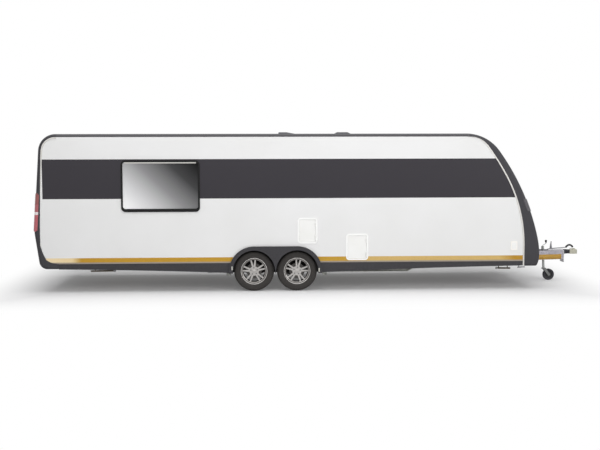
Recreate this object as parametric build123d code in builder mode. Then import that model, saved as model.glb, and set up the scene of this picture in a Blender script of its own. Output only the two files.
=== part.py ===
from build123d import *
import os
from math import acos, atan2, cos, degrees, hypot, radians, sin

# Twin-axle touring caravan, in millimetres.
# X runs forward to the coupling, Y to the left, Z up from the ground.
# The near side in the usual side view is the right side, at minus Y.

# Body shell, seen from the side
body_width = 2300
half_width = body_width / 2
roof_height = 2555
belly = 384
wall = 35
edge_width = 50
edge_radius = 42
overrun = 300
seat = 0.3

# Nose, four tangent arcs that start level at the roof; the last one turns back under
nose_start = 2382
nose_widest_height = 560
nose_height = roof_height - nose_widest_height
nose_shoulder_share = 0.34286
nose_shoulder_angle = 53.5
nose_slope_share = 1.89975
nose_slope_angle = 77.5
nose_under_radius = 360
nose_foot_radius = 40
nose_shoulder_radius = nose_shoulder_share * nose_height
nose_slope_radius = nose_slope_share * nose_height
nose_shoulder_drop = nose_shoulder_radius * (1 - cos(radians(nose_shoulder_angle)))
nose_slope_drop = nose_slope_radius * (
    cos(radians(nose_shoulder_angle)) - cos(radians(nose_slope_angle))
)
nose_chin_drop = nose_height - nose_shoulder_drop - nose_slope_drop
nose_chin_radius = nose_chin_drop / cos(radians(nose_slope_angle))
nose_arcs = [  # radius, angle from the vertical where the arc ends
    (nose_shoulder_radius, nose_shoulder_angle),
    (nose_slope_radius, nose_slope_angle),
    (nose_chin_radius, 90),
    (nose_under_radius, 180),
]

# Bright rail that closes the side wall in front of the nose moulding
rail_start = 2436
rail_shoulder_radius = 388
rail_shoulder_angle = 53
rail_slope_radius = 4121
rail_slope_angle = 61
rail_plumb_height = 720.8
rail_width = 24
rail_proud = 8
rail_shoulder_drop = rail_shoulder_radius * (1 - cos(radians(rail_shoulder_angle)))
rail_slope_drop = rail_slope_radius * (
    cos(radians(rail_shoulder_angle)) - cos(radians(rail_slope_angle))
)
rail_chin_drop = roof_height - edge_width - rail_shoulder_drop - rail_slope_drop - rail_plumb_height
rail_chin_radius = rail_chin_drop / cos(radians(rail_slope_angle))
rail_arcs = [  # radius, angle from the vertical where the arc ends
    (rail_shoulder_radius, rail_shoulder_angle),
    (rail_slope_radius, rail_slope_angle),
    (rail_chin_radius, 90),
]

# Tail
tail_x = -4602
tail_top_x = -4494
tail_knee_height = 1000
tail_foot_x = -4514
tail_top_radius = 280
tail_knee_radius = 700
tail_foot_radius = 130

# Floor and the underside
floor_underside = 532
floor_thickness = 40
floor_end_gap = 132
lip_length = 110
skirt_top = 469
skirt_thickness = 25
skirt_tail_bottom = 382
skirt_middle_bottom = 346
skirt_wheel_bottom = 305
skirt_front_bottom = 351
skirt_nose_bottom = 394
skirt_rear_share = 0.2471
skirt_front_share = 0.7155

# Wheels and axles
rear_axle_x = -1075
axle_spacing = 700
wheel_radius = 327
tyre_width = 196
wheel_inset = 27
rim_radius = 211
rim_well_radius = 178
rim_wall = 7
spoke_count = 5
spoke_split_angle = 11
rim_width = 160
rim_edge = 6
bead_radius = 190
bead_slope = 4
rim_well_width = 50
rim_well_slope = 12
hub_radius = 76
hub_cap_radius = 30
hub_cap_proud = 7
hub_face_depth = 38
spoke_depth = 26
spoke_root_width = 34
spoke_tip_width = 22
spoke_first_angle = 95
front_wheel_turn = -12
lug_hole_radius = 12
lug_hole_depth = 14
lug_circle_radius = 56
tyre_shoulder_shares = [  # share of the tyre's height above the bead, share of its half width
    (0.24, 0.86),
    (0.52, 1.0),
    (0.80, 0.94),
    (0.95, 0.80),
    (1.0, 0.62),
]
drum_radius = 125
drum_depth = 72
drum_wall = 13
drum_hub_radius = 42
stub_radius = 20
arm_drop = 34
arm_length = 165
arm_width = 40
arm_height = 70
axle_tube_radius = 44
axle_end_gap = 78

# Wheel arches
arch_radius = 398
spat_radius = 408
spat_cut_radius = 344
spat_thickness = 32
spat_bottom = 298
box_height = 740
box_wall = 5
box_side_gap = 49
box_end_gap = 7

# Where things stand along the body, as shares of its length from the tail
nose_x = nose_start + nose_shoulder_radius * sin(radians(nose_shoulder_angle))
nose_x += nose_slope_radius * (sin(radians(nose_slope_angle)) - sin(radians(nose_shoulder_angle)))
nose_x += nose_chin_radius * (1 - sin(radians(nose_slope_angle)))
body_length = nose_x - tail_x
front_axle_x = rear_axle_x + axle_spacing
axle_places = [rear_axle_x, front_axle_x]
wheel_outer_y = half_width - wheel_inset
wheel_y = wheel_outer_y - tyre_width / 2
box_inner_y = wheel_outer_y - tyre_width - box_side_gap
axle_track_end = box_inner_y - axle_end_gap

# Windows
window_frame_width = 28
window_sill_height = 50
window_frame_proud = 16
window_pane_thickness = 18
window_pane_proud = 12
window_corner_radius = 70
window_table = [  # side, rear end and front end along the body, bottom and top, as shares
    (-1, 0.1706, 0.3239, 0.510, 0.8344),
    (1, 0.1706, 0.3239, 0.510, 0.8344),
    (1, 0.5062, 0.6089, 0.590, 0.8344),
    (1, 0.7753, 0.8800, 0.510, 0.8344),
]
rear_window_width = 980
rear_window_height = 600
rear_window_drop = 515
front_pane_sill = 360
front_pane_drop = 425
front_pane_depth = 14
front_pane_corner_radius = 70
front_pane_table = [  # middle and width, as shares of the body width
    (-0.305, 0.235),
    (0, 0.335),
    (0.305, 0.235),
]

# Entry door and the service hatches
joint_gap = 8
door_rear_share = 0.6687
door_width = 640
door_bottom = 590
door_head_gap = 225
door_corner_radius = 60
door_depth = 30
door_frame_width = 26
door_frame_proud = 10
door_hinge_proud = 24
door_hinge_radius = 8
door_hinge_length = 90
door_hinge_shares = [0.12, 0.5, 0.88]
hinge_leaf_width = 44
hinge_leaf_thickness = 6
hinge_lug_height = 20
hinge_lug_gap = 1
door_window_width = 330
door_window_height = 560
door_window_top_gap = 170
door_handle_length = 150
door_handle_proud = 26
door_handle_height = 1120
hatch_frame_width = 24
hatch_frame_proud = 8
hatch_depth = 28
hatch_corner_radius = 26
hatch_hinge_radius = 5
hatch_hinge_proud = 13
hatch_hinge_length = 40
hatch_hinge_shares = [0.24, 0.76]
hatch_lock_radius = 13
hatch_upper_bottom = 778
hatch_upper_top = 1195
hatch_lower_bottom = 503
hatch_lower_top = 933
hatch_table = [  # name, rear end and front end as shares of the length, bottom and top
    ("hatch_upper", 0.5155, 0.5545, hatch_upper_bottom, hatch_upper_top),
    ("hatch_lower", 0.6114, 0.6552, hatch_lower_bottom, hatch_lower_top),
]

# Nose locker lid
lid_bottom = 660
lid_top = 1130
lid_side_gap = 350
lid_corner_radius = 90
lid_hinge_radius = 9
lid_hinge_length = 140
lid_hinge_place_share = 0.72
lid_hinge_proud = 16
lid_hinge_reach = 40

# Fittings on the shell
vent_width = 420
vent_height = 45
vent_rim_height = 12
vent_table = [  # rear end, rear and front of the raised part, front end, as shares of the length
    (0.4805, 0.4813, 0.4973, 0.5195),
    (0.5964, 0.6029, 0.6248, 0.6324),
]
lamp_bottom = 985
lamp_top = 1620
lamp_width = 154
lamp_side_gap = 46
lamp_proud = 11
lamp_bump_radius = 52
lamp_bump_proud = 8
lamp_bump_shares = [0.24, 0.70]
inlet_width = 110
inlet_height = 144
inlet_rear_share = 0.9405
inlet_bottom = 650
inlet_proud = 14
inlet_corner_radius = 12
grille_width = 440
grille_height = 240
grille_proud = 9
grille_slot_height = 10
grille_slot_count = 7
grille_rear_share = 0.4395
grille_bottoms = [880, 1610]
corner_lamp_height = 200
corner_lamp_proud = 10
corner_lamp_reach = 62
vent_edge_radius = 18

# Chassis
rail_inset = 558
rail_web = 8
rail_flange = 60
rail_rear_x = -4280
rail_front_x = 1960
rail_shallow_bottom = 405
rail_deep_bottom = 252
rail_deep_rear_x = -1840
rail_deep_front_x = 1500
rail_slope_length = 330
rail_hole_radius = 42
rail_hole_table = [0.09, 0.17, 0.25, 0.33, 0.84, 0.93]
cross_depth = 90
cross_width = 50
cross_wall = 6
cross_shares = [0.02, 0.22, 0.68, 0.90]
leg_width = 44
leg_bottom = 376
leg_wall = 7
leg_lap = 320
leg_front_y = 88
leg_front_x = 4344
plate_thickness = 12
plate_bottom = 324
plate_half_width = 96
plate_corner_radius = 12
housing_length = 250
housing_half_width = 43
housing_bottom = 446
housing_top = 550
shaft_height = 503
shaft_radius = 24
bellows_length = 118
bellows_big_radius = 40
bellows_small_radius = 27
bellows_fold_count = 6
bellows_fold_depth = 6
shaft_clearance = 3
coupling_tip_x = 4615
coupling_width = 84
coupling_height = 78
coupling_ball_radius = 25
coupling_ball_back = 52
coupling_lip = 8
coupling_edge_radius = 18
coupling_handle_foot = 34
coupling_handle_length = 96
coupling_handle_rise = 18
coupling_handle_bar = 8
coupling_handle_width = 44
lever_back = 198
lever_foot_length = 70
lever_foot_width = 40
lever_foot_height = 8
lever_post_height = 134
lever_post_width = 40
lever_post_tip = 11
lever_post_thickness = 14
lever_bar_radius = 7
lever_reach = 267
lever_grip_rise = 25
lever_grip_crest = 69
lever_grip_droop = 39
lever_grip_length = 125
lever_grip_radius = 12

# Jockey wheel
jockey_ground_x = 4034
jockey_lean = 3.1
jockey_tube_top = 601
jockey_tube_radius = 24
jockey_bore_radius = 21
jockey_tube_length = 230
jockey_stem_bottom = 216
jockey_stem_top = 450
jockey_clamp_height = 36
jockey_clamp_drop = 148
jockey_clamp_wall = 9
jockey_cap_thickness = 8
jockey_wheel_radius = 100
jockey_wheel_width = 52
jockey_trail = 74
jockey_hub_radius = 62
jockey_crown_length = 60
jockey_crown_height = 16
jockey_fork_gap = 7
jockey_fork_wall = 6
jockey_fork_width = 44
jockey_pin_radius = 8
jockey_swivel_radius = 11
jockey_swivel_length = 34
jockey_crank_reach = 62
jockey_crank_radius = 6
jockey_crank_neck = 10
jockey_crank_bend = 9
jockey_knob_foot = 56
jockey_knob_top = 103
jockey_knob_foot_radius = 9
jockey_knob_radius = 20

# Corner steadies
steady_length = 470
steady_width = 46
steady_foot_length = 110
steady_foot_width = 90
steady_pin_radius = 8
steady_rear_x = -3880
steady_front_x = 2560
steady_side_gap = 98
steady_drop = 136
steady_gap = 1
steady_bracket_wall = 6
steady_foot_angle = 65
steady_foot_offset = 22
steady_foot_thickness = 8

os.makedirs("parts", exist_ok=True)


def along(share):
    """Place along the body, as a share of its length from the tail."""
    return tail_x + share * body_length


def save(part, name):
    """Label a finished sub-part and write its file."""
    part.label = name
    export_step(part, f"parts/{name}.step")


def arc_end(point, arcs, last_height):
    """Draw tangent arcs from a level start; the last one stops at last_height. Give the end."""
    x, z = point
    turned = 0
    for radius, end in arcs:
        centre_x = x - radius * sin(radians(turned))
        centre_z = z - radius * cos(radians(turned))
        if end == arcs[-1][1]:
            end = min(end, degrees(acos((last_height - centre_z) / radius)))
        CenterArc((centre_x, centre_z), radius, 90 - end, end - turned)
        x = centre_x + radius * sin(radians(end))
        z = centre_z + radius * cos(radians(end))
        turned = end
    return x, z


def xz_rectangle(x_low, x_high, z_low, z_high, radius=0):
    """Rectangle in the side view, with rounded corners where a radius is given."""
    with BuildSketch(Plane.XZ) as flat:
        with Locations(((x_low + x_high) / 2, (z_low + z_high) / 2)):
            if radius:
                RectangleRounded(x_high - x_low, z_high - z_low, radius)
            else:
                Rectangle(x_high - x_low, z_high - z_low)
    return flat.sketch


# Side outline of the whole body
with BuildSketch(Plane.XZ) as outline:
    with BuildLine():
        nose_foot = arc_end((nose_start, roof_height), nose_arcs, belly)
        Polyline(
            nose_foot,
            (tail_foot_x, belly),
            (tail_x, tail_knee_height),
            (tail_top_x, roof_height),
            (nose_start, roof_height),
        )
    make_face()
    for corner, radius in (
        (nose_foot, nose_foot_radius),
        ((tail_foot_x, belly), tail_foot_radius),
        ((tail_x, tail_knee_height), tail_knee_radius),
        ((tail_top_x, roof_height), tail_top_radius),
    ):
        fillet(outline.vertices().sort_by_distance((*corner, 0))[0], radius)

# Area in front of the rail, and the same area set back by the rail's width
rail_areas = []
for setback in (0, rail_width):
    with BuildSketch(Plane.XZ) as ahead:
        with BuildLine():
            start = (rail_start - setback, roof_height - edge_width)
            rail_foot = arc_end(start, rail_arcs, 0)
            Polyline(
                rail_foot,
                (rail_foot[0], 0),
                (nose_x + overrun, 0),
                (nose_x + overrun, roof_height + overrun),
                (start[0], roof_height + overrun),
                start,
            )
        make_face()
    rail_areas.append(ahead.sketch)

tail_split = tail_top_x + tail_top_radius
inner_outline = offset(outline.sketch, -wall, kind=Kind.INTERSECTION, mode=Mode.PRIVATE)
panel_outline = offset(outline.sketch, -edge_width, kind=Kind.INTERSECTION, mode=Mode.PRIVATE)
side_area = panel_outline - rail_areas[0]

# Whole body as a block with rounded edges
with BuildPart() as body_block:
    extrude(outline.sketch, amount=half_width, both=True)
    fillet(body_block.faces().filter_by(Axis.Y).edges(), edge_radius)

# Hollow shell, open below; the panels are cut from it
with BuildPart() as shell:
    add(body_block.part)
    extrude(inner_outline, amount=half_width - wall, both=True, mode=Mode.SUBTRACT)
    underside = xz_rectangle(tail_x + lip_length, nose_x - lip_length, 0, floor_underside)
    extrude(underside, amount=half_width - wall, both=True, mode=Mode.SUBTRACT)


# Openings in the side walls: (side, rectangle corners, corner radius)
window_places = [
    (side, along(rear), along(front), low * roof_height, high * roof_height)
    for side, rear, front, low, high in window_table
]
hatch_places = [
    (name, along(rear), along(front), low, high)
    for name, rear, front, low, high in hatch_table
]
rear_window_top = roof_height - rear_window_drop
rear_window_bottom = rear_window_top - rear_window_height
front_pane_top = roof_height - front_pane_drop
front_pane_bottom = lid_top + front_pane_sill
door_top = roof_height - door_head_gap
door_rear_x = along(door_rear_share)
door_front_x = door_rear_x + door_width
with BuildSketch(Plane.XZ) as arch:
    with Locations(*[(x, wheel_radius) for x in axle_places]):
        Circle(arch_radius)
    with Locations(((rear_axle_x + front_axle_x) / 2, wheel_radius)):
        Rectangle(axle_spacing, 2 * arch_radius)

# Side walls: flat sandwich panels between the mouldings
for side, name in ((-1, "side_wall_right"), (1, "side_wall_left")):
    with BuildPart() as side_wall:
        extrude(side_area, amount=-side * half_width)
        extrude(side_area, amount=-side * (half_width - wall), mode=Mode.SUBTRACT)
        below = xz_rectangle(tail_x, nose_x, 0, skirt_top)
        extrude(below, amount=half_width, both=True, mode=Mode.SUBTRACT)
        extrude(arch.sketch, amount=half_width, both=True, mode=Mode.SUBTRACT)
        holes = [
            xz_rectangle(
                rear + window_frame_width,
                front - window_frame_width,
                low + window_frame_width,
                high - window_frame_width,
                window_corner_radius - window_frame_width,
            )
            for window_side, rear, front, low, high in window_places
            if window_side == side
        ]
        if side < 0:
            holes += [
                xz_rectangle(
                    rear + hatch_frame_width,
                    front - hatch_frame_width,
                    low + hatch_frame_width,
                    high - hatch_frame_width,
                    hatch_corner_radius,
                )
                for hatch_name, rear, front, low, high in hatch_places
            ]
        else:
            holes.append(
                xz_rectangle(
                    door_rear_x - joint_gap,
                    door_front_x + joint_gap,
                    door_bottom - joint_gap,
                    door_top + joint_gap,
                    door_corner_radius + joint_gap,
                )
            )
        for hole in holes:
            extrude(hole, amount=half_width, both=True, mode=Mode.SUBTRACT)
    save(side_wall.part, name)

# Roof panel with its edge mouldings
with BuildPart() as roof_panel:
    add(shell.part)
    middle = xz_rectangle(tail_split, rail_start, roof_height / 2, roof_height + overrun)
    extrude(middle, amount=half_width + overrun, both=True, mode=Mode.INTERSECT)
    extrude(side_area, amount=half_width + overrun, both=True, mode=Mode.SUBTRACT)
save(roof_panel.part, "roof_panel")

# Rear moulding, with an opening for its window
with BuildPart() as rear_panel:
    add(shell.part)
    rear_end = xz_rectangle(tail_x - overrun, tail_split, 0, roof_height + overrun)
    extrude(rear_end, amount=half_width + overrun, both=True, mode=Mode.INTERSECT)
    extrude(side_area, amount=half_width + overrun, both=True, mode=Mode.SUBTRACT)
    with BuildSketch(Plane.YZ.offset(tail_x - overrun)) as rear_hole:
        with Locations((0, (rear_window_bottom + rear_window_top) / 2)):
            RectangleRounded(
                rear_window_width - 2 * window_frame_width,
                rear_window_top - rear_window_bottom - 2 * window_frame_width,
                window_corner_radius - window_frame_width,
            )
    extrude(amount=2 * overrun, mode=Mode.SUBTRACT)
save(rear_panel.part, "rear_panel")


def nose_patch(middle, width, low, high, radius, grow=0):
    """Upright rounded rectangle ahead of the nose, to cut a patch out of the nose with."""
    with BuildSketch(Plane.YZ.offset(rail_start + wall)) as flat:
        with Locations((middle, (low + high) / 2)):
            RectangleRounded(width + 2 * grow, high - low + 2 * grow, radius + grow)
    return flat.sketch


pane_patches = [
    nose_patch(
        middle * body_width,
        width * body_width,
        front_pane_bottom,
        front_pane_top,
        front_pane_corner_radius,
    )
    for middle, width in front_pane_table
]
nose_depth = nose_x - rail_start + overrun


def nose_face_x(height):
    """Place of the nose's face at a height within the slope arc."""
    back = (nose_shoulder_radius - nose_slope_radius) * sin(radians(nose_shoulder_angle))
    drop = nose_shoulder_drop + nose_slope_radius * cos(radians(nose_shoulder_angle))
    rise = height - roof_height + drop
    return nose_start + back + (nose_slope_radius**2 - rise**2) ** 0.5


rail_y = half_width - rail_inset
lid_half_width = half_width - lid_side_gap
leg_bend_slope = (rail_y - leg_front_y) / (leg_front_x - rail_front_x)
notch_half_width = leg_front_y + (leg_front_x - nose_x + lip_length) * leg_bend_slope + joint_gap
lid_axis = (nose_face_x(lid_top) + lid_hinge_proud, lid_top)
lid_hinge_places = [side * lid_hinge_place_share * lid_half_width for side in (-1, 1)]

# Nose moulding, cut for the windows, the locker lid and the drawbar
with BuildPart() as nose_panel:
    add(shell.part)
    extrude(rail_areas[0], amount=half_width + overrun, both=True, mode=Mode.INTERSECT)
    for patch in pane_patches:
        extrude(patch, amount=nose_depth, mode=Mode.SUBTRACT)
    lid_opening = nose_patch(
        0, 2 * lid_half_width, lid_bottom, lid_top, lid_corner_radius, joint_gap
    )
    extrude(lid_opening, amount=nose_depth, mode=Mode.SUBTRACT)
    with BuildSketch(Plane.YZ.offset(rail_start + wall)) as drawbar_notch:
        with Locations((0, floor_underside / 2)):
            Rectangle(2 * notch_half_width, floor_underside + joint_gap)
    extrude(amount=nose_depth, mode=Mode.SUBTRACT)
    for middle in lid_hinge_places:
        for step in (-1, 1):
            lug_y = middle + step * (lid_hinge_length + hinge_lug_height) / 2
            lug_y += step * hinge_lug_gap
            with BuildSketch(Plane.XZ.offset(-lug_y)) as lug:
                with BuildLine():
                    Polyline(
                        (lid_axis[0] - lid_hinge_radius, lid_top),
                        (lid_axis[0] + lid_hinge_radius, lid_top),
                        (nose_face_x(lid_top + lid_hinge_reach), lid_top + lid_hinge_reach),
                        (nose_face_x(lid_top) - wall / 2, lid_top + joint_gap + seat),
                        (lid_axis[0] - lid_hinge_radius, lid_top + joint_gap),
                        close=True,
                    )
                make_face()
                with Locations(lid_axis):
                    Circle(lid_hinge_radius)
            extrude(amount=hinge_lug_height / 2, both=True)
        with BuildSketch(Plane.XZ.offset(-middle)) as pin:
            with Locations(lid_axis):
                Circle(lid_hinge_radius / 2)
        extrude(amount=lid_hinge_length / 2 + hinge_lug_gap, both=True)
save(nose_panel.part, "nose_panel")

# Locker lid in the lower nose, hinged along its top edge
with BuildPart() as nose_lid:
    add(shell.part)
    lid_patch = nose_patch(0, 2 * lid_half_width, lid_bottom, lid_top, lid_corner_radius)
    extrude(lid_patch, amount=nose_depth, mode=Mode.INTERSECT)
    for middle in lid_hinge_places:
        with BuildSketch(Plane.XZ.offset(-middle)) as leaf:
            with Locations(lid_axis):
                Rectangle(
                    lid_hinge_proud + lid_hinge_radius,
                    2 * lid_hinge_radius,
                    align=(Align.MAX, Align.MAX),
                )
                Circle(lid_hinge_radius)
                Circle(lid_hinge_radius / 2 + seat, mode=Mode.SUBTRACT)
        extrude(amount=lid_hinge_length / 2, both=True)
save(nose_lid.part, "nose_lid")

# Front windows, flush in the nose
with BuildPart() as front_windows:
    for patch in pane_patches:
        extrude(patch, amount=nose_depth)
    pane_skin = outline.sketch - offset(
        outline.sketch, -front_pane_depth, kind=Kind.INTERSECTION, mode=Mode.PRIVATE
    )
    extrude(pane_skin, amount=half_width, both=True, mode=Mode.INTERSECT)
save(front_windows.part, "front_windows")

# Floor, cut for the two wheel boxes
box_rear_x = rear_axle_x - arch_radius - box_end_gap
box_front_x = front_axle_x + arch_radius + box_end_gap
with BuildPart() as floor_panel:
    floor_strip = xz_rectangle(
        tail_x + floor_end_gap + wall,
        nose_x - floor_end_gap - wall,
        floor_underside,
        floor_underside + floor_thickness,
    )
    extrude(floor_strip, amount=half_width - wall, both=True)
    wheel_strip = xz_rectangle(box_rear_x, box_front_x, 0, roof_height)
    extrude(wheel_strip, amount=half_width, both=True, mode=Mode.SUBTRACT)
    middle_strip = xz_rectangle(
        box_rear_x, box_front_x, floor_underside, floor_underside + floor_thickness
    )
    extrude(middle_strip, amount=box_inner_y, both=True)
save(floor_panel.part, "floor_panel")

# Wheel boxes, folded sheet over each pair of wheels
with BuildPart() as wheel_boxes:
    for side in (-1, 1):
        with BuildSketch(Plane.XZ.offset(-side * box_inner_y)) as box_shape:
            with Locations(((box_rear_x + box_front_x) / 2, (floor_underside + box_height) / 2)):
                Rectangle(box_front_x - box_rear_x, box_height - floor_underside)
        extrude(amount=-side * (half_width - wall - box_inner_y))
    for side in (-1, 1):
        with BuildSketch(Plane.XZ.offset(-side * (box_inner_y + box_wall))) as box_hollow:
            with Locations(
                ((box_rear_x + box_front_x) / 2, (floor_underside + box_height) / 2 - box_wall)
            ):
                Rectangle(box_front_x - box_rear_x - 2 * box_wall, box_height - floor_underside)
        extrude(amount=-side * half_width, mode=Mode.SUBTRACT)
save(wheel_boxes.part, "wheel_boxes")

# Skirts under the side walls, and the spats over the wheels
skirt_front_x = rail_foot[0]
with BuildPart() as skirts:
    for side in (-1, 1):
        with BuildSketch(Plane.XZ.offset(-side * (half_width - skirt_thickness))) as skirt_shape:
            with BuildLine():
                rear_foot = (tail_split, skirt_tail_bottom)
                wheel_foot = (rear_axle_x - arch_radius, skirt_wheel_bottom)
                front_wheel_foot = (front_axle_x + arch_radius, skirt_wheel_bottom)
                front_foot = (skirt_front_x, skirt_nose_bottom)
                rear_third = (along(skirt_rear_share), skirt_middle_bottom)
                front_third = (along(skirt_front_share), skirt_front_bottom)
                ThreePointArc(rear_foot, rear_third, wheel_foot)
                Line(wheel_foot, front_wheel_foot)
                ThreePointArc(front_wheel_foot, front_third, front_foot)
                Polyline(front_foot, (skirt_front_x, skirt_top), (tail_split, skirt_top), rear_foot)
            make_face()
            add(arch.sketch_local, mode=Mode.SUBTRACT)
        extrude(amount=-side * skirt_thickness)
save(skirts.part, "skirts")

with BuildPart() as wheel_spats:
    for side in (-1, 1):
        with BuildSketch(Plane.XZ.offset(-side * half_width)) as spat_shape:
            with Locations(*[(x, wheel_radius) for x in axle_places]):
                Circle(spat_radius)
            with Locations(((rear_axle_x + front_axle_x) / 2, wheel_radius)):
                Rectangle(axle_spacing, 2 * spat_radius)
            with Locations(*[(x, wheel_radius) for x in axle_places]):
                Circle(spat_cut_radius, mode=Mode.SUBTRACT)
            with Locations(((rear_axle_x + front_axle_x) / 2, spat_bottom - wheel_radius)):
                Rectangle(4 * spat_radius, 2 * wheel_radius, mode=Mode.SUBTRACT)
        extrude(amount=-side * spat_thickness)
save(wheel_spats.part, "wheel_spats")

# Bright rails down the joints between the side walls and the mouldings
with BuildPart() as body_rails:
    front_band = rail_areas[1] - rail_areas[0]
    extrude(front_band, amount=half_width + rail_proud, both=True)
    tail_band = panel_outline - offset(
        outline.sketch, -edge_width - rail_width, kind=Kind.INTERSECTION, mode=Mode.PRIVATE
    )
    tail_band &= xz_rectangle(tail_x, tail_split, skirt_top, roof_height)
    extrude(tail_band, amount=half_width + rail_proud, both=True)
    keep = xz_rectangle(tail_x, nose_x, skirt_nose_bottom, roof_height - edge_width)
    extrude(keep, amount=half_width + rail_proud, both=True, mode=Mode.INTERSECT)
    everything = xz_rectangle(tail_x, nose_x, 0, roof_height)
    extrude(everything, amount=half_width, both=True, mode=Mode.SUBTRACT)
save(body_rails.part, "body_rails")

# The tail window follows the slope of the tail between two offsets of the outline
tail_frame_skin = (
    offset(outline.sketch, window_frame_proud, kind=Kind.INTERSECTION, mode=Mode.PRIVATE)
    - outline.sketch
)
tail_pane_skin = offset(
    outline.sketch, window_pane_proud, kind=Kind.INTERSECTION, mode=Mode.PRIVATE
) - offset(
    outline.sketch,
    window_pane_proud - window_pane_thickness,
    kind=Kind.INTERSECTION,
    mode=Mode.PRIVATE,
)


def tail_window(inset):
    """Rounded rectangle behind the tail, the size of the window less inset all round."""
    with BuildSketch(Plane.YZ.offset(tail_x - overrun)) as flat:
        with Locations((0, (rear_window_bottom + rear_window_top) / 2)):
            RectangleRounded(
                rear_window_width - 2 * inset,
                rear_window_top - rear_window_bottom - 2 * inset,
                window_corner_radius - inset,
            )
    return flat.sketch


# Window frames on the walls and tail, deeper at the sill, and the tinted panes that fill them
sill_step = (window_sill_height - window_frame_width) / 2
with BuildPart() as window_frames:
    extrude(tail_window(0) - tail_window(window_frame_width), amount=2 * overrun)
    extrude(tail_frame_skin, amount=half_width, both=True, mode=Mode.INTERSECT)
    for side, rear, front, low, high in window_places:
        with BuildSketch(Plane.XZ.offset(-side * half_width)) as frame_shape:
            with Locations(((rear + front) / 2, (low + high) / 2)):
                RectangleRounded(front - rear, high - low, window_corner_radius)
            with Locations(((rear + front) / 2, (low + high) / 2 + sill_step)):
                RectangleRounded(
                    front - rear - 2 * window_frame_width,
                    high - low - window_frame_width - window_sill_height,
                    window_corner_radius - window_frame_width,
                    mode=Mode.SUBTRACT,
                )
        extrude(amount=-side * window_frame_proud)
save(window_frames.part, "window_frames")

with BuildPart() as window_panes:
    extrude(tail_window(window_frame_width), amount=2 * overrun)
    extrude(tail_pane_skin, amount=half_width, both=True, mode=Mode.INTERSECT)
    for side, rear, front, low, high in window_places:
        inner_face = half_width + window_pane_proud - window_pane_thickness
        with BuildSketch(Plane.XZ.offset(-side * inner_face)) as pane_shape:
            with Locations(((rear + front) / 2, (low + high) / 2 + sill_step)):
                RectangleRounded(
                    front - rear - 2 * window_frame_width,
                    high - low - window_frame_width - window_sill_height,
                    window_corner_radius - window_frame_width,
                )
        extrude(amount=-side * window_pane_thickness)
save(window_panes.part, "window_panes")

# Tail lamp clusters that stand proud of the rear moulding
lamp_middle_y = half_width - lamp_side_gap - lamp_width / 2
with BuildPart() as tail_lamps:
    lamp_skin = (
        offset(outline.sketch, lamp_proud, kind=Kind.INTERSECTION, mode=Mode.PRIVATE)
        - outline.sketch
    )
    lamp_height = lamp_top - lamp_bottom
    for side in (-1, 1):
        with BuildSketch(Plane.YZ.offset(tail_x - overrun)) as lamp_shape:
            with Locations((side * lamp_middle_y, (lamp_bottom + lamp_top) / 2)):
                RectangleRounded(lamp_width, lamp_height, lamp_width / 3)
        extrude(amount=overrun + (tail_top_x - tail_x))
    extrude(lamp_skin, amount=half_width, both=True, mode=Mode.INTERSECT)
    for side in (-1, 1):
        for share in lamp_bump_shares:
            with BuildSketch(Plane.YZ.offset(tail_x - overrun)) as bump_shape:
                with Locations((side * lamp_middle_y, lamp_bottom + share * lamp_height)):
                    Circle(lamp_bump_radius)
            bump = extrude(
                bump_shape.sketch, amount=overrun + (tail_top_x - tail_x), mode=Mode.PRIVATE
            )
            bump_skin = extrude(
                offset(
                    outline.sketch,
                    lamp_proud + lamp_bump_proud,
                    kind=Kind.INTERSECTION,
                    mode=Mode.PRIVATE,
                )
                - outline.sketch,
                amount=half_width,
                both=True,
                mode=Mode.PRIVATE,
            )
            add(bump & bump_skin)
save(tail_lamps.part, "tail_lamps")

# White lamps wrapped round the corners of the nose
with BuildPart() as corner_lamps:
    extrude(
        offset(outline.sketch, corner_lamp_proud, kind=Kind.INTERSECTION, mode=Mode.PRIVATE),
        amount=half_width + corner_lamp_proud,
        both=True,
    )
    fillet(corner_lamps.faces().filter_by(Axis.Y).edges(), edge_radius + corner_lamp_proud)
    add(body_block.part, mode=Mode.SUBTRACT)
    lamp_zone = xz_rectangle(
        rail_start, nose_x + overrun, front_pane_bottom - corner_lamp_height, front_pane_bottom
    )
    lamp_zone -= offset(
        outline.sketch, -corner_lamp_reach, kind=Kind.INTERSECTION, mode=Mode.PRIVATE
    )
    extrude(lamp_zone, amount=half_width + overrun, both=True, mode=Mode.INTERSECT)
    extrude(lamp_zone, amount=half_width - corner_lamp_reach, both=True, mode=Mode.SUBTRACT)
save(corner_lamps.part, "corner_lamps")

# Low roof vents with sloping ends
with BuildPart() as roof_vents:
    for rear, raised_rear, raised_front, front in vent_table:
        with BuildSketch(Plane.XZ) as vent_shape:
            with BuildLine():
                Polyline(
                    (along(rear), roof_height),
                    (along(rear), roof_height + vent_rim_height),
                    (along(raised_rear), roof_height + vent_height),
                    (along(raised_front), roof_height + vent_height),
                    (along(front), roof_height + vent_rim_height),
                    (along(front), roof_height),
                    close=True,
                )
            make_face()
        extrude(amount=vent_width / 2, both=True)
    fillet(
        roof_vents.edges().filter_by_position(
            Axis.Z, roof_height + vent_rim_height, roof_height + vent_height
        ).filter_by(Axis.Y, reverse=True),
        vent_edge_radius,
    )
save(roof_vents.part, "roof_vents")

# Mains inlet on the right wall, and the two fridge grilles on the left wall
with BuildPart() as mains_inlet:
    with BuildSketch(Plane.XZ.offset(half_width)) as inlet_shape:
        with Locations((along(inlet_rear_share) + inlet_width / 2, inlet_bottom + inlet_height / 2)):
            RectangleRounded(inlet_width, inlet_height, inlet_corner_radius)
    extrude(amount=inlet_proud)
save(mains_inlet.part, "mains_inlet")

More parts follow.
